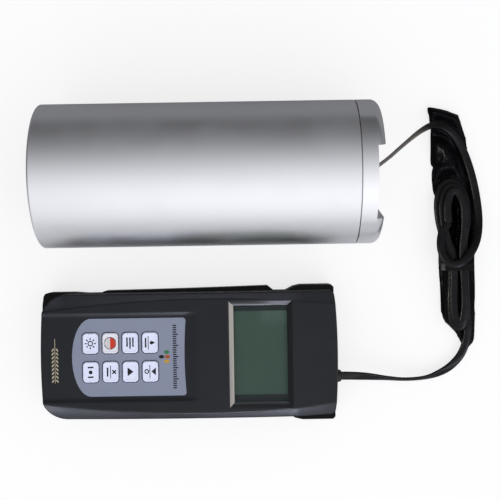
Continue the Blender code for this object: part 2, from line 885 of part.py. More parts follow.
def cup_tube(finish):
    inner = CUP_RADIUS - CUP_WALL
    threaded = CUP_RADIUS - THREAD_WALL
    ease = 0.6 * MM
    profile = [
        (CUP_MOUTH, CUP_RADIUS - ease),
        (CUP_MOUTH + ease, CUP_RADIUS),
        (CUP_SEAM - ease / 2, CUP_RADIUS),
        (CUP_SEAM, CUP_RADIUS - ease / 2),
        (CUP_SEAM, threaded),
        (FLOOR_X, threaded),
        (FLOOR_X, inner),
        (CUP_MOUTH + ease, inner),
        (CUP_MOUTH, inner + ease),
    ]
    return revolve("cup_tube", profile, finish)


def cup_foot(finish):
    """Screws into the tube. The channel across its end lets the lead out when the cup stands up."""
    spigot = CUP_RADIUS - THREAD_WALL - GAP
    inner = spigot - 5.5 * MM
    hole = 5.3 * MM
    shoulder = CUP_SEAM + GAP
    ease = 0.3 * MM
    profile = [
        (79 * MM, inner),
        (79 * MM, spigot),
        (shoulder, spigot),
        (shoulder, CUP_RADIUS - ease),
        (shoulder + ease, CUP_RADIUS),
    ]
    centre = (CUP_END - FOOT_ROUND, CUP_RADIUS - FOOT_ROUND)
    profile += list(reversed(arc(centre, FOOT_ROUND, 0, 90, 3)))
    profile += [(CUP_END, hole), (84 * MM, hole), (84 * MM, inner)]
    foot = revolve("cup_foot", profile, finish)
    half = CHANNEL_WIDTH / 2
    reach = CUP_RADIUS + 5 * MM
    low = (CUP_END - CHANNEL_DEPTH, -half, -reach)
    channel = box("foot_channel", low, (CUP_END + 2 * MM, half, reach))
    channel.rotation_euler.x = CHANNEL_TURN
    return cut(foot, channel), channel


def ring(name, x_low, x_high, inner, outer, finish, steps=32):
    profile = [(x_low, inner), (x_low, outer), (x_high, outer), (x_high, inner)]
    return revolve(name, profile, finish, steps)


def circle_places(radius, count, first=0.0):
    angles = [math.radians(first + 360 * i / count) for i in range(count)]
    return [(radius * math.cos(a), radius * math.sin(a)) for a in angles]


def bars_along_x(name, places, radius, low, high):
    """Round bars along X at (y, z) places, in one mesh, for joining or cutting."""
    turned = [(-z, y) for y, z in places]
    bars = rods(name, turned, radius, low, high)
    bars.data.transform(Matrix.Rotation(math.pi / 2, 4, "Y"))
    return bars


def chamber_floor(finish):
    """Insulating disc that closes the sample chamber and carries the sensor board on three posts."""
    outer = CUP_RADIUS - THREAD_WALL - GAP
    low = FLOOR_X + 1.6 * MM
    high = low + 5.4 * MM
    disc = ring("chamber_floor", low, high, 3.3 * MM, outer, finish)
    posts = bars_along_x("floor_posts", circle_places(26 * MM, 3), 2.6 * MM, high - MM, 73.7 * MM)
    join(disc, posts)
    pilots = bars_along_x("floor_pilots", circle_places(26 * MM, 3), 1.2 * MM, 68.5 * MM, 75 * MM)
    cut(disc, pilots)
    well = bars_along_x("temperature_hole", [(0, 20 * MM)], 2.3 * MM, low - MM, high + MM)
    cut(disc, well)
    return disc, posts, pilots, well


def centre_electrode(finish):
    dome = [
        (ELECTRODE_TIP + ELECTRODE_RADIUS - x, y)
        for x, y in arc((0, 0), ELECTRODE_RADIUS, 0, 90, 5)
    ]
    dome[0] = (ELECTRODE_TIP, 0)
    foot = FLOOR_X + 1.3 * MM
    stub = 3 * MM
    profile = dome + [(foot, ELECTRODE_RADIUS), (foot, stub), (73 * MM, stub), (73 * MM, 0)]
    return revolve("centre_electrode", profile, finish, steps=24)


def electrode_nut(finish):
    nut = revolve(
        "electrode_nut",
        [(67.3 * MM, 0), (67.3 * MM, 6 * MM), (70.3 * MM, 6 * MM), (70.3 * MM, 0)],
        finish,
        steps=6,
    )
    hole = bars_along_x("nut_hole", [(0, 0)], 3.3 * MM, 66 * MM, 72 * MM)
    return cut(nut, hole), hole


def temperature_sensor(finish):
    radius = 2 * MM
    profile = [(x * MM, radius) for x in (58, 70)]
    profile = [(56.5 * MM, 0), (57 * MM, 1.4 * MM)] + profile + [(70 * MM, 0)]
    probe = revolve("temperature_sensor", profile, finish, steps=SMALL_STEPS)
    probe.location.z = 20 * MM
    return probe


def sensor_board(finish):
    profile = [(74 * MM, 0), (74 * MM, 30 * MM), (75.6 * MM, 30 * MM), (75.6 * MM, 0)]
    board = revolve("sensor_board", profile, finish, steps=32)
    holes = bars_along_x("sensor_board_holes", circle_places(26 * MM, 3), 1.2 * MM, 73 * MM, 77 * MM)
    return cut(board, holes), holes


def sensor_board_screws(finish):
    profile = [
        (70 * MM, 0),
        (70 * MM, 0.9 * MM),
        (75.9 * MM, 0.9 * MM),
        (75.9 * MM, 1.9 * MM),
        (77.1 * MM, 1.9 * MM),
        (77.1 * MM, 0),
    ]
    made = []
    for number, (y, z) in enumerate(circle_places(26 * MM, 3), 1):
        piece = revolve(f"sensor_board_screw_{number}", profile, finish, steps=SMALL_STEPS)
        piece.location = (0, y, z)
        made.append(piece)
    return made


def cup_gland(finish):
    bore = LEAD_WIDTH / 2 + GAP
    profile = [
        (81.6 * MM, bore),
        (81.6 * MM, 8 * MM),
        (83.7 * MM, 8 * MM),
        (83.7 * MM, 5 * MM),
        (95.6 * MM, 5 * MM),
        (97 * MM, 4 * MM),
        (97 * MM, bore),
    ]
    return revolve("cup_gland", profile, finish, steps=24)


def cup(finishes):
    """The cup's pieces, all made along their common axis and hung on one empty."""
    axis = bpy.data.objects.new("cup_axis", None)
    axis.location = (0, CUP_Y, CUP_RADIUS)
    bpy.context.scene.collection.objects.link(axis)
    outer = CUP_RADIUS - THREAD_WALL - GAP
    child_of(axis, cup_tube(finishes["aluminium"]))
    child_of(axis, *cup_foot(finishes["aluminium"]))
    child_of(axis, *chamber_floor(finishes["black_plastic"]))
    gasket_low = FLOOR_X + GAP
    child_of(axis, ring("floor_gasket", gasket_low, gasket_low + MM, 33 * MM, outer, finishes["rubber"]))
    child_of(axis, ring("floor_ring", 67.3 * MM, 71 * MM, 31 * MM, outer, finishes["aluminium"]))
    child_of(axis, centre_electrode(finishes["steel"]))
    child_of(axis, *electrode_nut(finishes["steel"]))
    child_of(axis, temperature_sensor(finishes["steel"]))
    child_of(axis, *sensor_board(finishes["board"]))
    child_of(axis, *sensor_board_screws(finishes["steel"]))
    child_of(axis, cup_gland(finishes["rubber"]))


# ---------------------------------------------------------------- assembly


def clear_scene():
    for existing in list(bpy.data.objects):
        bpy.data.objects.remove(existing)


def make_finishes():
    return {
        "front": material("front_plastic", (0.018, 0.021, 0.025), 0.5),
        "black_plastic": material("black_plastic", (0.010, 0.010, 0.011), 0.55),
        "white_plastic": material("white_plastic", (0.8, 0.8, 0.78), 0.5),
        "overlay": material("overlay_film", (0.25, 0.28, 0.38), 0.45),
        "key": material("key_plastic", (0.72, 0.74, 0.86), 0.45),
        "window": material("window_plastic", (0.75, 0.8, 0.78), 0.05),
        "display": material("display_glass", (0.05, 0.075, 0.065), 0.2),
        "board": material("circuit_board", (0.02, 0.14, 0.06), 0.5),
        "film": material("dome_film", (0.6, 0.6, 0.55), 0.4),
        "steel": material("steel", (0.6, 0.6, 0.6), 0.3, 1.0),
        "cell": material("cell_sleeve", (0.12, 0.13, 0.15), 0.35),
        "rubber": material("black_rubber", (0.012, 0.012, 0.013), 0.5),
        "pouch": material("pouch_film", (0.012, 0.012, 0.014), 0.2),
        "aluminium": material("satin_aluminium", (0.62, 0.62, 0.66), 0.35, 1.0),
    }


def meter(finishes):
    front_shell(finishes["front"])
    rear_shell(finishes["black_plastic"])
    battery_cover(finishes["black_plastic"])
    display_parts(finishes)
    main_board(finishes["board"])
    dome_sheet(finishes["film"])
    keypad_overlay(finishes["overlay"])
    for name, x, y in key_places():
        key(name, x, y, finishes["key"])
    meter_screws(finishes["steel"])
    batteries(finishes["cell"])
    contact_plate("battery_contact_left", BAY_LEFT, 1, 1.6 * MM, finishes["steel"])
    contact_plate("battery_contact_right", BAY_RIGHT, -1, 1.2 * MM, finishes["steel"])
    meter_gland(finishes["rubber"])
    sensor_lead(finishes["rubber"])
    lead_tie(finishes["rubber"])
    pouch(finishes["pouch"])


clear_scene()
FINISHES = make_finishes()
meter(FINISHES)
cup(FINISHES)
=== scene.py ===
import json
import math

import bmesh
import bpy
from mathutils import Matrix, Vector, noise
from mathutils.kdtree import KDTree

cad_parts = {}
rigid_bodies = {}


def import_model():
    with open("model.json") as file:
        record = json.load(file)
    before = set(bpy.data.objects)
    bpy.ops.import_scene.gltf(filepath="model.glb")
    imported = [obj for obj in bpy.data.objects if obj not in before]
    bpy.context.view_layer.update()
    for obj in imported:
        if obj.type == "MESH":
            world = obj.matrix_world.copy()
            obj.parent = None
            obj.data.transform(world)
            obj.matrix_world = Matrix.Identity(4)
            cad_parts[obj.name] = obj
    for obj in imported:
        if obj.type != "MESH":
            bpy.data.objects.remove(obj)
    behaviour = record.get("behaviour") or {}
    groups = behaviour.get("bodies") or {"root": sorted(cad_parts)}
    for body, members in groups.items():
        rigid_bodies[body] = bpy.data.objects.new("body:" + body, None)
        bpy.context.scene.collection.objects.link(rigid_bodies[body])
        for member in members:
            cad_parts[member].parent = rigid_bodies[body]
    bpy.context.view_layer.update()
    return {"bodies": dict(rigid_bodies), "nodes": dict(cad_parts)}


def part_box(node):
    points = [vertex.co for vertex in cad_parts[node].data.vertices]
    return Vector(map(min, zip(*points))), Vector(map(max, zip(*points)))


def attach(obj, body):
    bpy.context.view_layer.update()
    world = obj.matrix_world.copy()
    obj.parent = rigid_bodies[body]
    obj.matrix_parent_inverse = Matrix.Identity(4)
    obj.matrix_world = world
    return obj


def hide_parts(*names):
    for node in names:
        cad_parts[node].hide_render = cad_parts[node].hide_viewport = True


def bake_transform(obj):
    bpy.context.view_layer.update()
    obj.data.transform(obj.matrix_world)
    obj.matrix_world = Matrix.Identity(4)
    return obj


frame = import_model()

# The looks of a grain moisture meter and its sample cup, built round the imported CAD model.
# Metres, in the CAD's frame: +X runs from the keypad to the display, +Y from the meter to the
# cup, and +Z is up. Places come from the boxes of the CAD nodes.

MM = 0.001

FRONT_LOW, FRONT_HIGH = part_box("front_shell")
OVERLAY_LOW, OVERLAY_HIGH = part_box("keypad_overlay")
WINDOW_LOW, WINDOW_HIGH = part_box("display_window")
GLASS_LOW, GLASS_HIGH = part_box("display_glass")
TUBE_LOW, TUBE_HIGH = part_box("cup_tube")
FOOT_LOW, FOOT_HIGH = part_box("cup_foot")
POUCH_LOW, POUCH_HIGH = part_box("lead_pouch")
TIE_LOW, TIE_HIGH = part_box("lead_tie")
METER_GLAND_LOW, METER_GLAND_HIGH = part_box("meter_gland")
CUP_GLAND_LOW, CUP_GLAND_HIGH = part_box("cup_gland")
KEYS = [name for name in sorted(frame["bodies"]) if name.startswith("key_")]
SCREWS = [name for name in sorted(frame["nodes"]) if "screw" in name]

# Housing
HALF_LENGTH = FRONT_HIGH.x
HALF_WIDTH = FRONT_HIGH.y
SPLIT = FRONT_LOW.z
TOP = FRONT_HIGH.z
END_BOW = 1.5 * MM
CORNER = 2.5 * MM
KEYPAD_CORNER = 11.5 * MM
WALL = 2 * MM
ROOF = 3 * MM
CREASE_INSET = 3.2 * MM
CREASE_SWEEP = 5.1 * MM
CREASE_MIDDLE = 8 * MM
CHAMFER_SLOPE = 0.75
SLOPE_START = 56.5 * MM
SLOPE_FALL = 5.5 * MM
EDGE_FILLET = 0.6 * MM
DISH_DEPTH = 0.7 * MM
DISH_FLOOR = 22.3 * MM
DISH_RIM = 24.1 * MM
DISH_FADE_START = -2 * MM
DISH_FADE_END = 5 * MM

# Display recess
DISPLAY_DEPTH = TOP - WINDOW_HIGH.z
DISPLAY_BEZEL = 2.6 * MM

# Keypad
KEY_LENGTH = 8.4 * MM
KEY_WIDTH = 10.9 * MM
KEY_RADIUS = 1.9 * MM
KEY_CLEARANCE = 0.35 * MM
OVERLAY_ROUND = 10.2 * MM
OVERLAY_HOLLOW = 0.8 * MM
INK = 0.05 * MM  # thickness of a print

# Lead
LEAD_WIDTH = 4.6 * MM
LEAD_THICKNESS = 1.9 * MM

# Cup
CUP_MIDDLE = Vector((0, (TUBE_LOW.y + TUBE_HIGH.y) / 2, (TUBE_LOW.z + TUBE_HIGH.z) / 2))
CUP_RADIUS = (TUBE_HIGH.z - TUBE_LOW.z) / 2
CUP_WALL = 2.5 * MM
THREAD_WALL = 1.8 * MM
FLOOR_X = 60 * MM
FOOT_ROUND = 4.5 * MM
CHANNEL_WIDTH = 37 * MM
CHANNEL_DEPTH = 4.2 * MM
CHANNEL_TURN = math.radians(14)
FULL_TURN = 160  # steps round the cup

LIT_METER = bpy.data.collections.new("lit_meter")  # what the extra lights fall on
LIT_LEAD = bpy.data.collections.new("lit_lead")


# ---------------------------------------------------------------- node materials


class Graph:
    """A material's node tree, with short calls for the nodes used here."""

    def __init__(self, name):
        self.material = bpy.data.materials.new(name)
        self.material.use_nodes = True
        self.tree = self.material.node_tree
        self.shader = self.tree.nodes["Principled BSDF"]
        self.output = self.tree.nodes["Material Output"]
        self.coords = self.tree.nodes.new("ShaderNodeTexCoord").outputs["Object"]

    def feed(self, socket, value):
        if isinstance(value, bpy.types.NodeSocket):
            self.tree.links.new(value, socket)
        elif isinstance(value, tuple) and len(value) == 3 and socket.type == "RGBA":
            socket.default_value = (*value, 1)
        else:
            socket.default_value = value

    def set(self, **values):
        """Inputs of the Principled shader, with _ for a space in the name."""
        for name, value in values.items():
            self.feed(self.shader.inputs[name.replace("_", " ")], value)

    def math(self, operation, *values, clamp=False):
        made = self.tree.nodes.new("ShaderNodeMath")
        made.operation = operation
        made.use_clamp = clamp
        for socket, value in zip(made.inputs, values):
            self.feed(socket, value)
        return made.outputs[0]

    def ramp(self, value, start, end, low=0.0, high=1.0, smooth=True):
        made = self.tree.nodes.new("ShaderNodeMapRange")
        made.interpolation_type = "SMOOTHSTEP" if smooth else "LINEAR"
        for socket, given in zip(made.inputs, (value, start, end, low, high)):
            self.feed(socket, given)
        return made.outputs[0]

    def mix(self, factor, a, b):
        made = self.tree.nodes.new("ShaderNodeMix")
        made.data_type = "RGBA"
        self.feed(made.inputs["Factor"], factor)
        self.feed(made.inputs["A"], a)
        self.feed(made.inputs["B"], b)
        return made.outputs["Result"]

    def split(self, vector):
        made = self.tree.nodes.new("ShaderNodeSeparateXYZ")
        self.feed(made.inputs[0], vector)
        return made.outputs

    def stretched(self, scale):
        """Object coordinates scaled by a factor along each axis."""
        made = self.tree.nodes.new("ShaderNodeMapping")
        self.feed(made.inputs["Vector"], self.coords)
        self.feed(made.inputs["Scale"], scale)
        return made.outputs[0]

    def noise(self, size, detail=2.0, coords=None):
        """Noise whose features are about this many metres across."""
        made = self.tree.nodes.new("ShaderNodeTexNoise")
        self.feed(made.inputs["Vector"], coords or self.coords)
        self.feed(made.inputs["Scale"], 1 / size)
        self.feed(made.inputs["Detail"], detail)
        return made.outputs["Fac"]

    def voronoi(self, size, coords=None):
        made = self.tree.nodes.new("ShaderNodeTexVoronoi")
        self.feed(made.inputs["Vector"], coords or self.coords)
        self.feed(made.inputs["Scale"], 1 / size)
        return made.outputs["Distance"]

    def bump(self, height, depth, below=None):
        """A normal for a height of 0 to 1 that stands for this many metres."""
        made = self.tree.nodes.new("ShaderNodeBump")
        self.feed(made.inputs["Height"], height)
        self.feed(made.inputs["Distance"], depth)
        if below:
            self.feed(made.inputs["Normal"], below)
        return made.outputs[0]

    def edge(self, radius):
        """1 on sharp convex and concave edges, 0 on open faces."""
        rounded = self.tree.nodes.new("ShaderNodeBevel")
        rounded.samples = 4
        self.feed(rounded.inputs["Radius"], radius)
        geometry = self.tree.nodes.new("ShaderNodeNewGeometry")
        dot = self.tree.nodes.new("ShaderNodeVectorMath")
        dot.operation = "DOT_PRODUCT"
        self.feed(dot.inputs[0], rounded.outputs[0])
        self.feed(dot.inputs[1], geometry.outputs["Normal"])
        return self.ramp(dot.outputs["Value"], 0.98, 0.8)


def shifted(colour, factor):
    return tuple(min(1.0, part * factor) for part in colour)


def moulded(name, colour, roughness, grain=0.35 * MM, depth=0.012 * MM, specular=0.5, wear=0.0):
    """Moulded plastic or rubber: eroded grain, uneven sheen, and paler handled edges."""
    graph = Graph(name)
    cloud = graph.noise(14 * MM, 4)
    fine = graph.noise(grain, 3)
    tone = graph.mix(cloud, shifted(colour, 0.88), shifted(colour, 1.12))
    if wear:
        tone = graph.mix(graph.math("MULTIPLY", graph.edge(0.5 * MM), wear), tone, shifted(colour, 4))
    rough = graph.math("ADD", graph.ramp(cloud, 0.3, 0.7, roughness - 0.04, roughness + 0.04),
                       graph.ramp(fine, 0.3, 0.7, -0.03, 0.03))
    graph.set(Base_Color=tone, Roughness=rough, Specular_IOR_Level=specular)
    graph.set(Normal=graph.bump(fine, depth))
    return graph.material


def metal(name, colour, roughness, line=0.12 * MM, depth=0.002 * MM, spread=0.04, anisotropic=0.0):
    """Turned metal with fine lines round the X axis and a slightly uneven satin finish."""
    graph = Graph(name)
    lines = graph.noise(line, 2, graph.stretched((1, 0.02, 0.02)))
    cloud = graph.noise(22 * MM, 3)
    tone = graph.mix(cloud, shifted(colour, 0.97), shifted(colour, 1.02))
    rough = graph.ramp(cloud, 0.3, 0.7, roughness - spread, roughness + spread)
    graph.set(Base_Color=tone, Metallic=1.0, Roughness=rough, Anisotropic=anisotropic)
    graph.set(Normal=graph.bump(lines, depth))
    if anisotropic:
        tangent = graph.tree.nodes.new("ShaderNodeTangent")
        tangent.direction_type = "RADIAL"
        tangent.axis = "X"
        graph.set(Tangent=tangent.outputs[0])
    return graph.material


def key_field(graph, x, y, grown):
    """Distance from the rounded edge of a key, positive outside, from centred coordinates."""
    corner = KEY_RADIUS + grown
    sides = []
    for value, size in ((x, KEY_LENGTH), (y, KEY_WIDTH)):
        inner = graph.math("SUBTRACT", graph.math("ABSOLUTE", value), size / 2 + grown - corner)
        sides.append(inner)
    outside = [graph.math("MAXIMUM", side, 0.0) for side in sides]
    squares = [graph.math("MULTIPLY", side, side) for side in outside]
    length = graph.math("SQRT", graph.math("ADD", *squares))
    inside = graph.math("MINIMUM", graph.math("MAXIMUM", *sides), 0.0)
    return graph.math("SUBTRACT", graph.math("ADD", length, inside), corner)


def overlay_film():
    """Blue-grey printed film with painted shade in a soft dark ring round each key, and a fine emboss.
    """
    graph = Graph("overlay_film")
    x, y, _ = graph.split(graph.coords)
    first = min(box_middle(key).x for key in KEYS)
    last = max(box_middle(key).x for key in KEYS)
    pitch = (last - first) / 3
    row = max(box_middle(key).y for key in KEYS)
    along = graph.math("SUBTRACT", x, first)
    column = graph.math("ROUND", graph.math("DIVIDE", along, pitch))
    column = graph.math("MINIMUM", graph.math("MAXIMUM", column, 0.0), 3.0)
    local_x = graph.math("SUBTRACT", along, graph.math("MULTIPLY", column, pitch))
    local_y = graph.math("SUBTRACT", graph.math("ABSOLUTE", y), row)
    distance = key_field(graph, local_x, local_y, KEY_CLEARANCE)
    # Painted shade: the film darkens in a soft ring round each key hole, and the same ring shapes the
    # emboss.
    painted_shade_ring = graph.ramp(distance, 0.35 * MM, 0.1 * MM)
    cloud = graph.noise(9 * MM, 3)
    weave = graph.noise(0.18 * MM, 2)
    base = graph.mix(cloud, (0.300, 0.335, 0.445), (0.325, 0.365, 0.480))
    tone = graph.mix(graph.math("MULTIPLY", painted_shade_ring, 0.7), base, (0.05, 0.055, 0.08))
    graph.set(Base_Color=tone, Roughness=graph.ramp(weave, 0.3, 0.7, 0.4, 0.5))
    raised = graph.bump(painted_shade_ring, 0.12 * MM)
    graph.set(Normal=graph.bump(weave, 0.006 * MM, raised), Specular_IOR_Level=0.35)
    return graph.material


def key_silicone(name, colour):
    """Pale key top with painted shade that darkens it slightly towards its rim."""
    graph = Graph(name)
    x, y, _ = graph.split(graph.coords)
    distance = key_field(graph, x, y, 0.0)
    rim = graph.ramp(distance, -1.6 * MM, 0.1 * MM)
    fine = graph.noise(0.2 * MM, 3)
    cloud = graph.noise(4 * MM, 2)
    face = graph.mix(cloud, shifted(colour, 0.96), shifted(colour, 1.03))
    # Painted shade: the face is mixed towards a darker tone near the rim.
    tone = graph.mix(graph.math("MULTIPLY", rim, 0.12), face, shifted(colour, 0.6))
    graph.set(Base_Color=tone, Roughness=graph.ramp(fine, 0.3, 0.7, 0.42, 0.55))
    graph.set(Normal=graph.bump(fine, 0.006 * MM), Specular_IOR_Level=0.4)
    return graph.material


def ink(name, colour):
    """Screen-printed ink: slightly uneven and less glossy than the film under it."""
    graph = Graph(name)
    fine = graph.noise(0.15 * MM, 3)
    tone = graph.mix(fine, shifted(colour, 0.85), shifted(colour, 1.1))
    graph.set(Base_Color=tone, Roughness=graph.ramp(fine, 0.3, 0.7, 0.5, 0.65))
    graph.set(Normal=graph.bump(fine, 0.004 * MM), Specular_IOR_Level=0.3)
    return graph.material


def liquid_crystal():
    """Unlit grey-green display, dark along its two short borders."""
    graph = Graph("liquid_crystal")
    x, y, _ = graph.split(graph.coords)
    reach = graph.math("ABSOLUTE", graph.math("SUBTRACT", y, 1.0 * MM))
    border = graph.ramp(reach, 22.4 * MM, 23.0 * MM)
    cloud = graph.noise(18 * MM, 2)
    pixels = graph.noise(0.12 * MM, 1)
    green = graph.mix(cloud, (0.072, 0.116, 0.091), (0.090, 0.136, 0.109))
    far = graph.ramp(y, GLASS_HIGH.y - 14 * MM, GLASS_HIGH.y - 4 * MM)
    glare = graph.math("MULTIPLY", far, graph.ramp(x, GLASS_LOW.x + 12 * MM, GLASS_LOW.x + 18 * MM))
    green = graph.mix(graph.math("MULTIPLY", glare, 0.6), green, (0.14, 0.20, 0.17))
    side = graph.ramp(x, WINDOW_HIGH.x - 1.5 * MM, WINDOW_HIGH.x)
    green = graph.mix(graph.math("MULTIPLY", side, 0.4), green, (0.02, 0.03, 0.026))
    tone = graph.mix(border, green, (0.030, 0.036, 0.037))
    graph.set(Base_Color=tone, Roughness=graph.ramp(pixels, 0.3, 0.7, 0.3, 0.34))
    graph.set(Specular_IOR_Level=0.1)
    return graph.material


def clear_window():
    """Clear plastic that shows what is under it, with reflections."""
    graph = Graph("clear_window")
    ripple = graph.noise(6 * MM, 2)
    graph.set(Base_Color=(0.9, 0.95, 0.93), Roughness=graph.ramp(ripple, 0.3, 0.7, 0.04, 0.08))
    clear = graph.tree.nodes.new("ShaderNodeBsdfTransparent")
    graph.feed(clear.inputs[0], (0.93, 0.96, 0.95))
    gloss = graph.tree.nodes.new("ShaderNodeBsdfGlossy")
    graph.feed(gloss.inputs["Color"], (0.3, 0.3, 0.31))
    graph.feed(gloss.inputs["Roughness"], 0.05)
    fresnel = graph.tree.nodes.new("ShaderNodeFresnel")
    graph.feed(fresnel.inputs["IOR"], 1.45)
    behind = graph.tree.nodes.new("ShaderNodeNewGeometry").outputs["Backfacing"]
    outer = graph.math("SUBTRACT", 1.0, behind)
    mixed = graph.tree.nodes.new("ShaderNodeMixShader")
    graph.feed(mixed.inputs[0], graph.math("MULTIPLY", fresnel.outputs[0], outer))
    graph.tree.links.new(clear.outputs[0], mixed.inputs[1])
    graph.tree.links.new(gloss.outputs[0], mixed.inputs[2])
    graph.tree.links.new(mixed.outputs[0], graph.output.inputs["Surface"])
    return graph.material


def lead_jacket():
    """Satin black flat cable, slightly wavy, with a painted warm-grey highlight where it rises to the
    cup.
    """
    graph = Graph("lead_jacket")
    wave = graph.noise(5 * MM, 2)
    fine = graph.noise(0.3 * MM, 3)
    tone = graph.mix(graph.ramp(wave, 0.4, 0.8), (0.003, 0.003, 0.0035), (0.006, 0.006, 0.0065))
    x, _, z = graph.split(graph.coords)
    # Painted highlight: where the lead rises near the cup, its colour is mixed towards warm grey.
    raised = graph.math("MULTIPLY", graph.ramp(z, 14 * MM, 24 * MM), graph.ramp(x, 138 * MM, 132 * MM))
    tone = graph.mix(raised, tone, graph.mix(wave, (0.10, 0.09, 0.08), (0.16, 0.145, 0.13)))
    graph.set(Base_Color=tone, Roughness=graph.ramp(wave, 0.3, 0.7, 0.25, 0.38))
    graph.set(Normal=graph.bump(fine, 0.006 * MM, graph.bump(wave, 0.1 * MM)))
    graph.set(Specular_IOR_Level=0.14)
    return graph.material


def pouch_film():
    """Black glossy film with fine creases over the large folds of its mesh."""
    graph = Graph("pouch_film")
    folds = graph.noise(7 * MM, 4, graph.stretched((1, 0.35, 1)))
    creases = graph.voronoi(6 * MM, graph.stretched((1, 0.5, 1)))
    fine = graph.noise(0.5 * MM, 3)
    graph.set(Base_Color=graph.mix(folds, (0.0012, 0.0012, 0.0016), (0.003, 0.003, 0.0036)))
    graph.set(Roughness=graph.ramp(fine, 0.3, 0.7, 0.16, 0.26))
    first = graph.bump(folds, 0.3 * MM)
    second = graph.bump(creases, 0.15 * MM, first)
    graph.set(Normal=graph.bump(fine, 0.004 * MM, second), Specular_IOR_Level=0.06)
    return graph.material


def circuit_board():
    """Green solder resist over faint tracks."""
    graph = Graph("circuit_board")
    x, y, _ = graph.split(graph.coords)
    tracks = graph.math("MULTIPLY", graph.math("PINGPONG", x, 1.1 * MM), 1 / (1.1 * MM))
    lines = graph.ramp(tracks, 0.45, 0.55)
    cloud = graph.noise(12 * MM, 3)
    copper = graph.mix(cloud, (0.012, 0.09, 0.035), (0.02, 0.14, 0.05))
    graph.set(Base_Color=graph.mix(lines, copper, (0.008, 0.06, 0.025)))
    graph.set(Roughness=graph.ramp(cloud, 0.3, 0.7, 0.3, 0.42), Normal=graph.bump(lines, 0.03 * MM))
    return graph.material


def cell_sleeve(node):
    """A plain printed sleeve: a dark body with a copper-coloured band at the positive end."""
    low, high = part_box(node)
    graph = Graph("sleeve_" + node)
    x, _, _ = graph.split(graph.coords)
    turned = int(node[-1]) % 2
    start = low.x + 13 * MM if turned else high.x - 13 * MM
    band = graph.ramp(x, start, start - 0.3 * MM if turned else start + 0.3 * MM)
    scuffs = graph.noise(1.5 * MM, 5)
    tone = graph.mix(band, (0.018, 0.02, 0.024), (0.55, 0.27, 0.10))
    graph.set(Base_Color=graph.mix(graph.ramp(scuffs, 0.62, 0.8), tone, (0.3, 0.3, 0.3)))
    graph.set(Roughness=graph.ramp(scuffs, 0.3, 0.7, 0.25, 0.4), Metallic=0.5)
    graph.set(Normal=graph.bump(scuffs, 0.01 * MM))
    return graph.material


# ---------------------------------------------------------------- mesh helpers


def box_middle(node):
    low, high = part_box(node)
    return (low + high) / 2


def to_object(name, bm, material=None, sharp=35):
    """Makes an object of a bmesh, smooth except where faces meet at more than an angle."""
    bmesh.ops.recalc_face_normals(bm, faces=bm.faces)
    mesh = bpy.data.meshes.new(name)
    bm.to_mesh(mesh)
    bm.free()
    mesh.shade_smooth()
    mesh.set_sharp_from_angle(angle=math.radians(sharp))
    made = bpy.data.objects.new(name, mesh)
    bpy.context.scene.collection.objects.link(made)
    if material:
        mesh.materials.append(material)
    return made


def skin_rings(bm, rings, closed=True):
    """Faces between rings of equally many vertices. Returns the rings."""
    count = len(rings[0])
    for lower, upper in zip(rings, rings[1:]):
        for i in range(count if closed else count - 1):
            j = (i + 1) % count
            bm.faces.new((lower[i], lower[j], upper[j], upper[i]))
    return rings


def loft(name, rings, material=None, sharp=35):
    """A closed solid through rings of points, capped at both ends."""
    bm = bmesh.new()
    made = skin_rings(bm, [[bm.verts.new(point) for point in ring] for ring in rings])
    bm.faces.new(made[0])
    bm.faces.new(made[-1])
    return to_object(name, bm, material, sharp)


def revolve(name, profile, centre, material=None, steps=FULL_TURN, sharp=35):
    """A closed profile of (x, radius) turned round the line along X through a centre."""
    bm = bmesh.new()
    rows = []
    for step in range(steps):
        turn = 2 * math.pi * step / steps
        side = Vector((0, math.cos(turn), math.sin(turn)))
        rows.append([bm.verts.new(centre + Vector((x, 0, 0)) + side * r) for x, r in profile])
    skin_rings(bm, rows + rows[:1])
    bmesh.ops.remove_doubles(bm, verts=bm.verts, dist=1e-7)
    return to_object(name, bm, material, sharp)


def arc(centre, radius, start, end, segments):
    """Points on an arc, with angles in degrees."""
    angles = [math.radians(start + (end - start) * i / segments) for i in range(segments + 1)]
    return [(centre[0] + radius * math.cos(a), centre[1] + radius * math.sin(a)) for a in angles]


def rounded_rectangle(length, width, radius, segments=6, middle=(0, 0)):
    points = []
    for start, sx, sy in ((0, 1, 1), (90, -1, 1), (180, -1, -1), (270, 1, -1)):
        centre = (middle[0] + sx * (length / 2 - radius), middle[1] + sy * (width / 2 - radius))
        points += arc(centre, radius, start, start + 90, segments)
    return points


def at_height(outline, z):
    return [(x, y, z) for x, y in outline]


def flared(outline, bottom, surface, fillet, above=1 * MM):
    """Rings of a cutter that leaves a rounded edge where it meets a flat surface."""
    rings = [at_height(outline(0), bottom), at_height(outline(0), surface - fillet)]
    for angle in (30, 60, 80):
        out = fillet * (1 - math.cos(math.radians(angle)))
        up = fillet * (1 - math.sin(math.radians(angle)))
        rings.append(at_height(outline(out), surface - up))
    rings.append(at_height(outline(fillet * 1.3), surface + 0.02 * MM))
    rings.append(at_height(outline(fillet * 1.3), surface + above))
    return rings


def settle(target):
    """Applies a piece's modifiers to its mesh."""
    graph = bpy.context.evaluated_depsgraph_get()
    mesh = bpy.data.meshes.new_from_object(target.evaluated_get(graph))
    old = target.data
    target.modifiers.clear()
    target.data = mesh
    bpy.data.meshes.remove(old)
    return target


def carve(target, cutters, operation="DIFFERENCE", sharp=35):
    """Cuts (or joins) helpers into a piece, and removes the helpers."""
    for cutter in cutters:
        modifier = target.modifiers.new("cut", "BOOLEAN")
        modifier.operation = operation
        modifier.solver = "EXACT"
        modifier.object = cutter
    settle(target)
    for cutter in cutters:
        bpy.data.objects.remove(cutter)
    target.data.shade_smooth()
    target.data.set_sharp_from_angle(angle=math.radians(sharp))
    return target


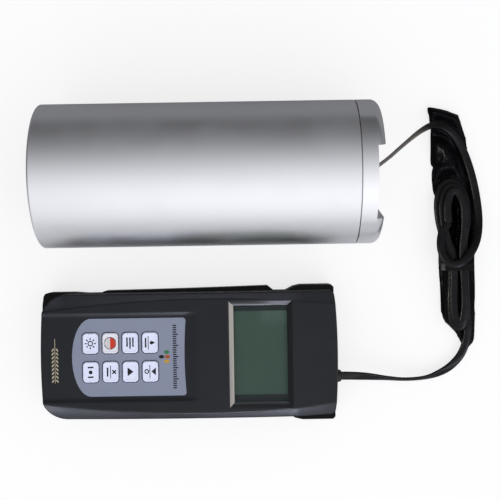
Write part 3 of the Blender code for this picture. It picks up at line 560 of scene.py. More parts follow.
def even_shading(piece):
    modifier = piece.modifiers.new("weighted", "WEIGHTED_NORMAL")
    modifier.keep_sharp = True
    modifier.weight = 60
    return piece


def stands_for(piece, body, slot, *nodes):
    """The piece rides on a body and hides CAD nodes; the slot is not used."""
    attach(piece, body)
    if nodes:
        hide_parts(*nodes)
    return piece


# ---------------------------------------------------------------- front shell


def smooth_min(a, b, radius):
    blend = max(radius - abs(a - b), 0) / radius
    return min(a, b) - blend * blend * radius / 4


def fraction(value, start, end):
    return min(max((value - start) / (end - start), 0), 1)


def eased(t):
    return t * t * (3 - 2 * t)


def side_point(along, across, reach, corner, inset):
    """A point of one side of the outline, and of the two eighths of a circle at its ends.

    along runs from -1 to 1, reach and across are the half sizes along and across the side.
    """
    radius = corner - inset
    straight = reach - inset - radius
    walked = abs(along) * (straight + radius * math.pi / 4)
    if walked <= straight:
        return math.copysign(walked, along), across - inset
    angle = (walked - straight) / radius
    out = straight + radius * math.sin(angle)
    return math.copysign(out, along), across - inset - radius * (1 - math.cos(angle))


def bowed(x, y):
    return x + math.copysign(END_BOW * (1 - (y / HALF_WIDTH) ** 2), x), y


def long_side(along, inset):
    """A point of the side along +Y, from the keypad end's corner to the display end's."""
    corner = KEYPAD_CORNER if along < 0 else CORNER
    x, y = side_point(along, HALF_WIDTH, HALF_LENGTH - END_BOW, corner, inset)
    return bowed(x, y)


def short_side(side, along, inset):
    """A point of the end at +X (side 1) or -X (side -1)."""
    corner = KEYPAD_CORNER if side < 0 else CORNER
    y, x = side_point(along, HALF_LENGTH - END_BOW, HALF_WIDTH, corner, inset)
    return bowed(side * x, y)


def from_edge(x, y):
    """How far a point is inside the housing's top outline."""
    corner = KEYPAD_CORNER if x < 0 else CORNER
    flat = abs(x) - END_BOW * (1 - (y / HALF_WIDTH) ** 2)
    dx = flat - (HALF_LENGTH - END_BOW - corner)
    dy = abs(y) - (HALF_WIDTH - corner)
    outside = math.hypot(max(dx, 0), max(dy, 0))
    return corner - outside - min(max(dx, dy), 0)


def roof_height(x, y):
    """The top face, its fall towards the display end, and the two long chamfers."""
    fall = SLOPE_FALL / (HALF_LENGTH - SLOPE_START)
    top = smooth_min(TOP, TOP - fall * (x - SLOPE_START), 0.5 * MM)
    inset = CREASE_INSET + CREASE_SWEEP * ((x - CREASE_MIDDLE) / HALF_LENGTH) ** 2
    out = abs(y) - HALF_WIDTH + inset
    chamfer = top - CHAMFER_SLOPE * out * (0.8 + 0.2 * max(out, 0) / inset)
    return smooth_min(top, chamfer, 0.3 * MM)


def skin_height(x, y):
    """The roof with the shallow dish round the keypad and a rounded outer edge."""
    z = roof_height(x, y)
    deep = fraction(abs(y), DISH_RIM, DISH_FLOOR)
    deep = 0.6 * deep + 0.4 * eased(deep)
    z -= DISH_DEPTH * deep * (1 - eased(fraction(x, DISH_FADE_START, DISH_FADE_END)))
    edge = max(from_edge(x, y), 0)
    if edge < EDGE_FILLET:
        z -= EDGE_FILLET - math.sqrt(EDGE_FILLET**2 - (EDGE_FILLET - edge) ** 2)
    return z


def line_places(half, pitch, extra=()):
    """Places from -1 to 1, close together at both ends and at extra distances from the middle."""
    from_end = [0, 0.05, 0.15, 0.3, 0.5, 0.75, 1.1, 1.7, 2.5]
    distances = [half - step * MM for step in from_end]
    steps = int((half - 3 * MM) / pitch)
    distances += [(half - 3 * MM) * i / steps for i in range(1, steps + 1)] + list(extra)
    ordered = sorted(set(round(distance / half, 5) for distance in distances))
    return [-place for place in reversed(ordered)] + [0.0] + ordered


def surface_grid(bm, columns, rows, inset, height):
    """A grid of vertices over the outline, bent to follow it. Returns its edge loop."""
    corners = [Vector(long_side(end, inset)) for end in (-1, 1)]
    grid = []
    for row in rows:
        ends = [Vector(short_side(side, row, inset)) for side in (-1, 1)]
        line = []
        for column in columns:
            part = (column + 1) / 2
            end = ends[0].lerp(ends[1], part)
            corner = corners[0].lerp(corners[1], part)
            side_x, side_y = long_side(column, inset)
            x = side_x + end.x - corner.x
            y = side_y * row + end.y - corner.y * row
            line.append(bm.verts.new((x, y, height(x, y))))
        grid.append(line)
    loop = grid[0] + [line[-1] for line in grid[1:]]
    loop += list(reversed(grid[-1]))[1:] + [line[0] for line in reversed(grid[1:-1])]
    for lower, upper in zip(grid, grid[1:]):
        for i in range(len(columns) - 1):
            bm.faces.new((lower[i], lower[i + 1], upper[i + 1], upper[i]))
    return loop


def wall_ring(bm, loop, part, z_end, inset, columns, rows):
    """A ring part of the way down the side."""
    places = [("long", -1, column) for column in columns]
    places += [("short", 1, row) for row in rows[1:]]
    places += [("long", 1, column) for column in reversed(columns[:-1])]
    places += [("short", -1, row) for row in reversed(rows[1:-1])]
    ring = []
    for vertex, (kind, side, along) in zip(loop, places):
        z = vertex.co.z + (z_end - vertex.co.z) * part
        if kind == "long":
            x, y = long_side(along, inset)
            y *= side
        else:
            x, y = short_side(side, along, inset)
        ring.append(bm.verts.new((x, y, z)))
    return ring


def front_skin(material):
    """The front shell as a hollow solid with smooth chamfers and rounded edges."""
    bm = bmesh.new()
    corner_run = KEYPAD_CORNER * (1 - math.pi / 4)
    columns = line_places(HALF_LENGTH - END_BOW - corner_run, 1.8 * MM)
    creases = [(21.3 + 0.4 * step) * MM for step in range(21)]
    rows = line_places(HALF_WIDTH - corner_run, 1.0 * MM, creases)
    outer = surface_grid(bm, columns, rows, 0, skin_height)
    rings = [outer]
    for part in (0.08, 0.18, 0.3, 0.45, 0.6, 0.97):
        rings.append(wall_ring(bm, outer, part, SPLIT, 0, columns, rows))
    rings.append(wall_ring(bm, outer, 1, SPLIT, 0.3 * MM, columns, rows))
    inner = surface_grid(bm, columns, rows, WALL, lambda x, y: roof_height(x, y) - ROOF)
    rings.append(wall_ring(bm, inner, 1, SPLIT, WALL, columns, rows))
    rings.append(inner)
    skin_rings(bm, rings)
    return to_object("front_housing", bm, material)


def display_outline(grown):
    half_length = (WINDOW_HIGH.x - WINDOW_LOW.x) / 2 - 1.8 * MM
    half_width = (WINDOW_HIGH.y - WINDOW_LOW.y) / 2 - 1.8 * MM
    middle = box_middle("display_window")
    x = half_length + grown
    y = half_width + grown
    return [(middle.x + dx, middle.y + dy) for dx, dy in ((x, y), (-x, y), (-x, -y), (x, -y))]


def display_cutter():
    """Straight lip, sloping bezel, and a small rounding where it meets the top face."""
    floor = WINDOW_HIGH.z
    slope = DISPLAY_DEPTH / DISPLAY_BEZEL
    rings = [(0, floor - 3 * MM), (0, floor), (2.4 * MM, floor + 2.4 * MM * slope)]
    rings += [(2.7 * MM, TOP - 0.1 * MM), (3.0 * MM, TOP - 0.02 * MM), (3.4 * MM, TOP + MM)]
    return loft("display_cutter", [at_height(display_outline(out), z) for out, z in rings])


def overlay_outline(grown=0.0):
    """Elliptical left end, right edge curving slightly in."""
    half_width = (OVERLAY_HIGH.y - OVERLAY_LOW.y) / 2 + grown
    right = OVERLAY_HIGH.x + grown
    middle = OVERLAY_LOW.x + OVERLAY_ROUND
    corner = 1.6 * MM
    straight = half_width - corner
    points = []
    for step in range(-7, 8):
        share = step / 8
        points.append((right - OVERLAY_HOLLOW * (1 - share * share), straight * share))
    points += arc((right - corner, straight), corner, 0, 90, 6)
    for x, y in arc((0, 0), 1, 90, 270, 40):
        points.append((middle + x * (OVERLAY_ROUND + grown), y * half_width))
    return points + arc((right - corner, -straight), corner, 270, 360, 6)


def key_cutters(bottom, top, grown, fillet):
    cutters = []
    for key in KEYS:
        middle = box_middle(key)

        def outline(out):
            length = KEY_LENGTH + 2 * (grown + out)
            width = KEY_WIDTH + 2 * (grown + out)
            return rounded_rectangle(length, width, KEY_RADIUS + grown + out, 5, middle)

        cutters.append(loft("key_cutter", flared(outline, bottom, top, fillet)))
    return cutters


def rod(name, x, y, radius, low, high, segments=24):
    return loft(name, [at_height(arc((x, y), radius, 0, 360 - 360 / segments, segments - 1), z)
                       for z in (low, high)])


def gland_cutter():
    middle = box_middle("meter_gland")
    profile = [(-8 * MM, 0), (-8 * MM, 3.95 * MM), (6 * MM, 3.95 * MM), (6 * MM, 0)]
    return revolve("gland_cutter", profile, middle, steps=32)


def finish_faces(shell, bezel, side, pale):
    """Gives the display's bezel its own finish, with a painted warm reflection on the faces turned
    towards +X, and upright sides a duller one.
    """
    for material in (bezel, side, pale):
        shell.data.materials.append(material)
    reach = 3.2 * MM
    for face in shell.data.polygons:
        x, y, z = face.center
        near_x = GLASS_LOW.x - reach < x < GLASS_HIGH.x + reach
        near_y = GLASS_LOW.y - reach < y < GLASS_HIGH.y + reach
        if near_x and near_y and z > WINDOW_HIGH.z - 0.1 * MM and face.normal.z < 0.9:
            # Painted reflection: bezel faces turned towards +X take the pale material.
            face.material_index = 3 if face.normal.x > 0.4 else 1
        elif abs(face.normal.z) < 0.65:
            face.material_index = 2


def front_shell(material, bezel, side, pale):
    shell = front_skin(material)
    posts = []
    for name in SCREWS:
        middle = box_middle(name)
        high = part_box(name)[1].z
        if name.startswith("case_screw"):
            posts.append(rod("post", middle.x, middle.y, 3.5 * MM, SPLIT, 27 * MM))
        elif name.startswith("board_screw"):
            posts.append(rod("post", middle.x, middle.y, 2.6 * MM, 24.3 * MM, high + 2 * MM))
    carve(shell, posts, "UNION")
    cutters = [display_cutter(), gland_cutter()]
    recess = OVERLAY_LOW.z - 0.25 * MM
    cutters.append(loft("overlay_cutter", [
        at_height(overlay_outline(0.25 * MM), recess),
        at_height(overlay_outline(0.25 * MM), OVERLAY_HIGH.z - 0.25 * MM),
        at_height(overlay_outline(0.4 * MM), TOP + 2 * MM),
    ]))
    cutters += key_cutters(TOP - ROOF - MM, OVERLAY_LOW.z, KEY_CLEARANCE, 0.05 * MM)
    for name in SCREWS:
        if name.startswith("case_screw"):
            middle = box_middle(name)
            cutters.append(rod("pilot", middle.x, middle.y, 1.5 * MM, SPLIT - MM, 23 * MM))
    carve(shell, cutters)
    finish_faces(shell, bezel, side, pale)
    even_shading(shell)
    LIT_METER.objects.link(shell)
    shell.visible_glossy = False
    return stands_for(shell, "meter", "front_housing", "front_shell")


# ---------------------------------------------------------------- keypad


def keypad_overlay(material):
    top = OVERLAY_HIGH.z
    soft = 0.12 * MM
    film = loft("keypad_film", [
        at_height(overlay_outline(), OVERLAY_LOW.z),
        at_height(overlay_outline(), top - soft),
        at_height(overlay_outline(-soft), top),
    ], material)
    carve(film, key_cutters(OVERLAY_LOW.z - MM, top, KEY_CLEARANCE, 0.15 * MM), sharp=50)
    even_shading(film)
    return stands_for(film, "meter", "overlay", "keypad_overlay")


def key_piece(key, material):
    """A key with a flange below, a rounded top edge and a shallow dished face."""
    low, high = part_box(key)
    middle = box_middle(key)
    flange = (high.x - low.x - KEY_LENGTH) / 2
    top = high.z
    rings = [(flange, low.z), (flange, low.z + MM), (0, low.z + MM), (0, top - 0.45 * MM)]
    for angle in (25, 50, 75, 90):
        turn = math.radians(angle)
        rings.append((-0.45 * MM * (1 - math.cos(turn)), top - 0.45 * MM * (1 - math.sin(turn))))
    rings += [(-0.75 * MM, top), (-1.1 * MM, top - 0.07 * MM), (-1.8 * MM, top - 0.12 * MM)]
    points = []
    for grown, z in rings:
        radius = max(KEY_RADIUS + grown, 0.3 * MM)
        outline = rounded_rectangle(KEY_LENGTH + 2 * grown, KEY_WIDTH + 2 * grown, radius)
        points.append(at_height(outline, z - top))
    made = loft(key + "_cap", points, material, sharp=50)
    made.location = (middle.x, middle.y, top)
    even_shading(made)
    LIT_METER.objects.link(made)
    return stands_for(made, key, "keys", key)


class Print:
    """Flat printed shapes on one surface, drawn in mm with u to the right and v up (+X)."""

    def __init__(self, origin, z):
        self.origin = origin
        self.z = z
        self.bm = bmesh.new()

    def shape(self, outline):
        rings = []
        for z in (self.z - INK, self.z + INK):
            ring = [(self.origin.x + v * MM, self.origin.y - u * MM, z) for u, v in outline]
            rings.append([self.bm.verts.new(point) for point in ring])
        skin_rings(self.bm, rings)
        self.bm.faces.new(rings[0])
        self.bm.faces.new(rings[1])
        return self

    def bar(self, start, end, width):
        run = Vector(end) - Vector(start)
        across = Vector((-run.y, run.x)).normalized() * width / 2
        low, high = Vector(start), Vector(end)
        return self.shape([tuple(low + across), tuple(low - across), tuple(high - across),
                           tuple(high + across)])

    def disc(self, centre, radius, start=0, end=360):
        outline = arc(centre, radius, start, end, 28)
        return self.shape(outline[:-1] if end - start == 360 else outline)

    def ring(self, centre, radius, width):
        outer = arc(centre, radius + width / 2, 0, 360, 32)
        inner = arc(centre, radius - width / 2, 0, 360, 32)
        for i in range(32):
            self.shape([outer[i], outer[i + 1], inner[i + 1], inner[i]])
        return self

    def drop(self, centre, size):
        """A droplet or grain: round below and pointed above."""
        outline = arc(centre, size * 0.5, 150, 390, 16)
        return self.shape(outline + [(centre[0], centre[1] + size)])

    def grain(self, centre, length, width, turn):
        """A pointed oval."""
        outline = []
        for step in range(16):
            angle = 2 * math.pi * step / 16
            along = math.cos(angle) * length / 2
            across = math.sin(angle) * width / 2 * (1 - 0.35 * math.cos(angle) ** 4)
            c, s = math.cos(math.radians(turn)), math.sin(math.radians(turn))
            outline.append((centre[0] + along * c - across * s, centre[1] + along * s + across * c))
        return self.shape(outline)

    def finish(self, name, material, body, slot):
        bmesh.ops.remove_doubles(self.bm, verts=self.bm.verts, dist=1e-7)
        return stands_for(to_object(name, self.bm, material), body, slot)


def icon_light(mark):
    mark.ring((0, 0), 1.2, 0.55)
    for step in range(8):
        angle = math.radians(45 * step)
        way = Vector((math.cos(angle), math.sin(angle)))
        mark.bar(way * 1.95, way * 3.0, 0.6)


def icon_power(mark):
    mark.ring((0, 0), 3.15, 0.35)


def icon_read(mark):
    for height in (-1.6, 0, 1.6):
        mark.bar((-3.0, height), (3.0 - abs(height) * 0.6, height), 0.8)


def icon_measure(mark):
    mark.drop((0, 0.9), 1.9)
    mark.bar((-3.6, -0.9), (3.6, -0.9), 0.4)
    mark.bar((-2.6, -2.3), (2.6, -2.3), 0.8)


def icon_select(mark):
    for side in (-1, 1):
        mark.bar((side * 2.6, -1.5), (side * 2.6, 1.5), 0.8)
    mark.disc((0, 0), 1.0)


def icon_delete(mark):
    mark.bar((-3.4, 0.0), (3.4, 0.0), 0.4)
    mark.bar((-1.0, 1.0), (1.0, 3.0), 0.7)
    mark.bar((-1.0, 3.0), (1.0, 1.0), 0.7)
    mark.bar((-2.4, -1.6), (2.4, -1.6), 0.8)


def icon_up(mark):
    mark.shape([(-2.3, -1.5), (2.3, -1.5), (0, 1.7)])


def icon_zero_down(mark):
    mark.shape([(-2.1, 3.0), (2.1, 3.0), (0, 0.6)])
    mark.bar((-3.6, -0.2), (3.6, -0.2), 0.4)
    mark.ring((0, -1.9), 1.0, 0.6)


ICONS = {
    "key_light": icon_light,
    "key_power": icon_power,
    "key_read": icon_read,
    "key_measure": icon_measure,
    "key_select": icon_select,
    "key_delete": icon_delete,
    "key_up": icon_up,
    "key_zero_down": icon_zero_down,
}


def key_prints(dark, red, pale):
    for key, draw in ICONS.items():
        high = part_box(key)[1]
        mark = Print(box_middle(key), high.z - 0.12 * MM)
        draw(mark)
        mark.finish(key + "_print", dark, key, "keys")
    middle = box_middle("key_power")
    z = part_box("key_power")[1].z - 0.12 * MM
    half = Print(middle, z)
    half.disc((0, 0), 2.95, 0, 180)
    half.finish("key_power_red_half", red, "key_power", "keys")
    other = Print(middle, z)
    other.disc((0, 0), 2.95, 180, 360)
    other.finish("key_power_pale_half", pale, "key_power", "keys")


def overlay_prints(dark, gold, inks):
    """A plain scale and grains beside the keys, and an ear of grain at the rounded end."""
    z = OVERLAY_HIGH.z
    origin = Vector(((OVERLAY_LOW.x + OVERLAY_HIGH.x) / 2, 0, 0))
    scale = Print(origin, z)
    right = (OVERLAY_HIGH.x - origin.x) / MM
    for step in range(-14, 15):
        length = 2.8 if step % 5 == 0 else 1.9
        scale.bar((step * 1.2, right - 7), (step * 1.2, right - 7 + length), 0.65)
    scale.finish("overlay_scale", dark, "meter", "overlay")
    for number, (shade, place) in enumerate(zip(inks, ((0, -2.2), (-2.5, 0.6), (0, 1.0), (2.5, 0.6)))):
        seed = Print(origin, z)
        seed.grain((place[0], right - 11.0 + place[1]), 3.0, 2.0, 90)
        seed.finish(f"overlay_grain_{number}", shade, "meter", "overlay")
    ear = Print(Vector((OVERLAY_LOW.x - 9.2 * MM, 0, 0)), TOP - DISH_DEPTH)
    ear.bar((-10.5, 0), (13.5, 0), 0.3)
    for step in range(9):
        u = -4.5 + step * 2.1
        for side in (-1, 1):
            ear.grain((u, side * 1.15), 2.1, 0.8, side * 35)
    ear.finish("housing_ear", gold, "meter", "front_housing")


# ---------------------------------------------------------------- cup


def cup_tube(material):
    inner = CUP_RADIUS - CUP_WALL
    threaded = CUP_RADIUS - THREAD_WALL
    mouth, seam = TUBE_LOW.x, TUBE_HIGH.x
    rim = CUP_WALL / 2
    centre = (mouth + rim, CUP_RADIUS - rim)
    profile = arc(centre, rim, 90, 270, 10)
    profile = [(x, r) for x, r in profile]
    profile += [(FLOOR_X, inner), (FLOOR_X, threaded), (seam, threaded), (seam, CUP_RADIUS - 0.3 * MM)]
    profile += [(seam - 0.1 * MM, CUP_RADIUS - 0.1 * MM), (seam - 0.3 * MM, CUP_RADIUS)]
    tube = revolve("sample_cup_tube", profile, CUP_MIDDLE, material)
    even_shading(tube)
    return stands_for(tube, "cup", "cup_aluminium", "cup_tube")


def cup_foot(material):
    """Foot with a rounded outer edge and a channel across its end."""
    spigot = CUP_RADIUS - THREAD_WALL - 0.3 * MM
    inner = spigot - 5.5 * MM
    hole = 5.3 * MM
    shoulder = TUBE_HIGH.x + 0.3 * MM
    end = FOOT_HIGH.x
    profile = [(FOOT_LOW.x, inner), (FOOT_LOW.x, spigot), (shoulder, spigot)]
    profile += [(shoulder, CUP_RADIUS - 0.3 * MM), (shoulder + 0.1 * MM, CUP_RADIUS - 0.1 * MM)]
    profile += [(shoulder + 0.3 * MM, CUP_RADIUS)]
    centre = (end - FOOT_ROUND, CUP_RADIUS - FOOT_ROUND)
    profile += list(reversed(arc(centre, FOOT_ROUND, 0, 90, 12)))
    profile += [(end, hole + 0.3 * MM), (end - 0.3 * MM, hole), (84 * MM, hole), (84 * MM, inner)]
    foot = revolve("sample_cup_foot", profile, CUP_MIDDLE, material)
    half = CHANNEL_WIDTH / 2
    ease = 0.4 * MM
    section = [(end - CHANNEL_DEPTH, -half), (end - CHANNEL_DEPTH, half), (end - ease, half)]
    section += [(end - 0.1 * MM, half + 0.12 * MM), (end + 0.3 * MM, half + 0.6 * MM)]
    section += [(end + 3 * MM, half + 0.6 * MM)]
    section += [(x, -y) for x, y in reversed(section[2:])]
    turn = Matrix.Translation(CUP_MIDDLE) @ Matrix.Rotation(CHANNEL_TURN, 4, "X")
    rings = [[turn @ Vector((x, y, z)) for x, y in section] for z in (-45 * MM, 45 * MM)]
    carve(foot, [loft("channel_cutter", rings)], sharp=28)
    even_shading(foot)
    return stands_for(foot, "cup", "foot_aluminium", "cup_foot")


# ---------------------------------------------------------------- lead


HANK_MIDDLE = Vector((150.4 * MM, 50 * MM, 0))
HANK_LOOP = (
    (155.8, 22.8),
    (155.2, 39.8),
    (154.6, 55.7),
    (156.9, 72.6),
    (155.8, 86.2),
    (149.6, 94.2),
    (143.4, 93),
    (139.8, 85.1),
    (139.8, 73.8),
    (142.8, 61.3),
    (147, 50.5),
    (147, 37),
    (146.2, 22.8),
    (147.8, 11.4),
    (153.2, 10.2),
)
HANK_KNOTS = 39
HANK_SHRINK = 0.18  # of its width, per turn
HANK_RISE = 3 * MM  # per turn
HANK_LOWEST = 4.9 * MM


def hank_point(knot):
    """A knot of the hank: a wide upper loop and a long narrow lower one, wound anticlockwise."""
    turns = knot / len(HANK_LOOP)
    x, y = HANK_LOOP[knot % len(HANK_LOOP)]
    x = HANK_MIDDLE.x + (x * MM - HANK_MIDDLE.x) * (1 - HANK_SHRINK * turns)
    y = HANK_MIDDLE.y + (y * MM - HANK_MIDDLE.y) * (1 - HANK_SHRINK / 3 * turns)
    return Vector((x, y, HANK_LOWEST + HANK_RISE * turns))


def spline(knots, steps):
    """Catmull-Rom points through (place, tilt) knots."""
    points = []
    padded = [knots[0]] + knots + [knots[-1]]
    for i in range(len(knots) - 1):
        group = padded[i:i + 4]
        for step in range(steps):
            t = step / steps
            weights = (
                -0.5 * t + t * t - 0.5 * t**3,
                1 - 2.5 * t * t + 1.5 * t**3,
                0.5 * t + 2 * t * t - 1.5 * t**3,
                -0.5 * t * t + 0.5 * t**3,
            )
            place = sum((w * knot[0] for w, knot in zip(weights, group)), Vector())
            tilt = sum(w * knot[1] for w, knot in zip(weights, group))
            points.append((place, tilt))
    return points + [knots[-1]]


def flat_cable(name, knots, material, steps=5):
    """A flat cable with rounded edges, swept along knots; it lies flat where the tilt is 0."""
    bm = bmesh.new()
    points = spline(knots, steps)
    rings = []
    for i, (place, tilt) in enumerate(points):
        ahead = points[min(i + 1, len(points) - 1)][0]
        behind = points[max(i - 1, 0)][0]
        along = (ahead - behind).normalized()
        flat = Vector((0, 0, 1)).cross(along).normalized()
        turn = Matrix.Rotation(math.radians(tilt), 3, along)
        side = turn @ flat
        up = along.cross(side)
        ring = []
        for step in range(20):
            angle = 2 * math.pi * step / 20
            wide = math.copysign(abs(math.cos(angle)) ** 0.7, math.cos(angle)) * LEAD_WIDTH / 2
            thick = math.copysign(abs(math.sin(angle)) ** 0.8, math.sin(angle)) * LEAD_THICKNESS / 2
            ring.append(bm.verts.new(place + side * wide + up * thick))
        rings.append(ring)
    skin_rings(bm, rings)
    bm.faces.new(rings[0])
    bm.faces.new(rings[-1])
    return to_object(name, bm, material, sharp=60)


def meter_lead_knots():
    """From the meter's gland round the hank to its last turn."""
    knots = [
        (METER_GLAND_LOW.x / MM - 1, -14, 15, 0),
        (86, -14.1, 15, 0),
        (97, -14.9, 13, 25),
        (108.6, -16.6, 9, 60),
        (120.4, -17.9, 6, 75),
        (132, -17.3, 4.6, 65),
        (141, -14.4, 4.3, 30),
        (148, -9.8, 4.3, 10),
        (153.6, -2.6, 4.3, 0),
        (156.4, 8, 4.6, 0),
    ]
    made = [(Vector(place) * MM, tilt) for *place, tilt in knots]
    return made + [(hank_point(knot), 0) for knot in range(HANK_KNOTS)]


def cup_lead_knots():
    """From the last turn of the hank, round its waist and up to the foot of the cup."""
    knots = [
        (140.8, 64, 13.6, 0),
        (140, 56, 15, 0),
        (142.4, 49.4, 16.4, 0),
        (147, 47, 16.8, 0),
        (152.6, 49.2, 16, 0),
        (157.6, 54.6, 14, 0),
        (161.4, 62, 10.5, 0),
        (163.3, 72, 6.6, 0),
        (162.8, 84, 4.6, 0),
        (160.4, 97, 4.3, 0),
        (156.6, 109, 4.6, 0),
        (151.4, 118.4, 6.5, 5),
        (145.2, 124, 9, 15),
        (138, 125.4, 12, 35),
        (129.5, 121.5, 17, 62),
        (119, 113.6, 24.5, 82),
        (108, 104.6, 32.5, 88),
        (97.3, 97, 38, 88),
    ]
    start = (hank_point(HANK_KNOTS - 1), 0)
    return [start] + [(Vector(place) * MM, tilt) for *place, tilt in knots]


def lead(material):
    hank = flat_cable("lead_hank", meter_lead_knots(), material)
    stands_for(hank, "meter", "lead", "sensor_lead")
    tail = flat_cable("lead_to_cup", cup_lead_knots(), material, steps=7)
    LIT_LEAD.objects.link(hank)
    LIT_LEAD.objects.link(tail)
    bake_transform(tail)


# ---------------------------------------------------------------- pouch


def strand_tree():
    """The lead's course over the pouch, flattened for searching, with each point's height."""
    course = spline(meter_lead_knots(), 5) + spline(cup_lead_knots(), 5)
    near = [place for place, _ in course if place.x > POUCH_LOW.x - 5 * MM]
    tree = KDTree(len(near))
    for i, place in enumerate(near):
        tree.insert((place.x, place.y, 0), i)
    tree.balance()
    return tree, near


def ceiling(x, y, tree, places):
    """How high the film can reach: under the lead, or puffed up beside it."""
    above = [places[i].z for _, i, _ in tree.find_range((x, y, 0), 3.4 * MM)]
    if above:
        return min(above) - LEAD_THICKNESS / 2 - 0.5 * MM
    distance = tree.find((x, y, 0))[2]
    return 2.6 * MM + 4 * MM * eased(fraction(distance, 3.4 * MM, 9 * MM))


def crumple(x, y):
    """Height of the film's long folds and small wrinkles, about -1 to 1."""
    place = Vector((x, y, 0)) / MM
    long_folds = 1 - 2 * abs(noise.noise(Vector((place.x / 5, place.y / 22, 3))))
    wrinkles = 1 - 2 * abs(noise.noise(Vector((place.x / 3, place.y / 4.5, 7))))
    return 0.65 * long_folds + 0.5 * wrinkles


def shape_film(piece, tree, places):
    """Thins the bag to a flat seam round its edge, and folds and puffs its upper side."""
    mesh = piece.data
    sides = [v.co.copy() for v in mesh.vertices if abs(v.normal.z) < 0.5]
    rim = KDTree(len(sides))
    for i, co in enumerate(sides):
        rim.insert((co.x, co.y, 0), i)
    rim.balance()
    for vertex in mesh.vertices:
        x, y, z = vertex.co
        inside = fraction(rim.find((x, y, 0))[2], 0, 6 * MM)
        full = ceiling(x, y, tree, places) + 0.7 * MM * crumple(x, y)
        height = 0.7 * MM + (full - 0.7 * MM) * math.sqrt(inside)
        vertex.co.z = POUCH_LOW.z + (z - POUCH_LOW.z) / (POUCH_HIGH.z - POUCH_LOW.z) * height


def blow_up(piece):
    """Cloth simulation: light pressure in an oversized film makes it buckle."""
    cloth = piece.modifiers.new("cloth", "CLOTH")
    cloth.settings.mass = 0.1
    cloth.settings.tension_stiffness = 20
    cloth.settings.compression_stiffness = 20
    cloth.settings.shear_stiffness = 8
    cloth.settings.bending_stiffness = 0.05
    cloth.settings.use_pressure = True
    cloth.settings.uniform_pressure_force = 3
    cloth.settings.shrink_min = -0.06
    cloth.settings.effector_weights.gravity = 0
    for number in range(1, 21):
        bpy.context.scene.frame_set(number)
    settle(piece)
    bpy.context.scene.frame_set(1)


def pouch(material):
    """The soft film bag under the hank."""
    piece = bpy.data.objects.new("pouch_bag", frame["nodes"]["lead_pouch"].data.copy())
    bpy.context.scene.collection.objects.link(piece)
    piece.data.materials.clear()
    remesh = piece.modifiers.new("remesh", "REMESH")
    remesh.mode = "VOXEL"
    remesh.voxel_size = 1.2 * MM
    settle(piece)
    tree, places = strand_tree()
    shape_film(piece, tree, places)
    before = [vertex.co.copy() for vertex in piece.data.vertices]
    blow_up(piece)
    furthest = 1.5 * MM
    for vertex, start in zip(piece.data.vertices, before):
        moved = vertex.co - start
        if moved.length > furthest:
            moved *= furthest / moved.length
        x, y, z = start + moved
        z = min(z, ceiling(x, y, tree, places) + MM * (not tree.find_range((x, y, 0), 3.4 * MM)))
        vertex.co = (x, y, max(z, POUCH_LOW.z))
    finer = piece.modifiers.new("finer", "SUBSURF")
    finer.levels = 1
    finer.render_levels = 1
    settle(piece)
    piece.data.materials.append(material)
    piece.data.shade_smooth()
    LIT_LEAD.objects.link(piece)
    return stands_for(piece, "meter", "pouch", "lead_pouch")


# ---------------------------------------------------------------- other CAD nodes


def refine(node, width):
    """Rounds a CAD node's edges with modifiers, and leaves its mesh alone."""
    piece = frame["nodes"][node]
    weld = piece.modifiers.new("weld", "WELD")
    weld.merge_threshold = 0.00001
    flat = piece.modifiers.new("flat", "DECIMATE")
    flat.decimate_type = "DISSOLVE"
    flat.angle_limit = math.radians(1)
    bevel = piece.modifiers.new("bevel", "BEVEL")
    bevel.width = width
    bevel.segments = 2
    bevel.limit_method = "ANGLE"
    bevel.angle_limit = math.radians(35)
    bevel.use_clamp_overlap = True
    even_shading(piece)


def paint(node, material):
    piece = frame["nodes"][node]
    for slot in piece.material_slots:
        slot.material = material


# ---------------------------------------------------------------- surroundings


def world_light():
    """One broad soft light from above and the near side, over a dim room."""
    world = bpy.data.worlds.new("studio")
    bpy.context.scene.world = world
    world.use_nodes = True
    tree = world.node_tree
    background = tree.nodes["Background"]
    coords = tree.nodes.new("ShaderNodeTexCoord")
    dot = tree.nodes.new("ShaderNodeVectorMath")
    dot.operation = "DOT_PRODUCT"
    dot.inputs[1].default_value = Vector((0.19, -0.657, 0.729)).normalized()
    tree.links.new(coords.outputs["Generated"], dot.inputs[0])

    def step(operation, value, other):
        node = tree.nodes.new("ShaderNodeMath")
        node.operation = operation
        tree.links.new(value, node.inputs[0])
        node.inputs[1].default_value = other
        return node.outputs[0]

    half = step("MULTIPLY", step("ADD", dot.outputs["Value"], 1.0), 0.5)
    lobe = step("ADD", step("MULTIPLY", step("POWER", half, 3.0), 1.2), 0.1)
    path = tree.nodes.new("ShaderNodeLightPath")
    pale = tree.nodes.new("ShaderNodeMixRGB")
    pale.inputs[2].default_value = (0.9, 0.9, 0.9, 1)
    tree.links.new(path.outputs["Is Camera Ray"], pale.inputs[0])
    tree.links.new(lobe, pale.inputs[1])
    tint = tree.nodes.new("ShaderNodeMixRGB")
    tint.blend_type = "MULTIPLY"
    tint.inputs[0].default_value = 1
    tint.inputs[2].default_value = (0.985, 0.99, 1.03, 1)
    tree.links.new(pale.outputs[0], tint.inputs[1])
    tree.links.new(tint.outputs[0], background.inputs["Color"])


def softbox(name, place, target, size, height, power, colour, lit):
    """An extra soft light that only falls on, and is only shadowed by, some pieces."""
    lamp = bpy.data.lights.new(name, "AREA")
    lamp.color = colour
    lamp.shape = "RECTANGLE"
    lamp.size = size
    lamp.size_y = height
    lamp.energy = power
    holder = bpy.data.objects.new(name, lamp)
    holder.location = place
    holder.rotation_euler = (target - Vector(place)).to_track_quat("-Z", "Y").to_euler()
    holder.visible_camera = False
    holder.light_linking.receiver_collection = lit
    holder.light_linking.blocker_collection = lit
    bpy.context.scene.collection.objects.link(holder)


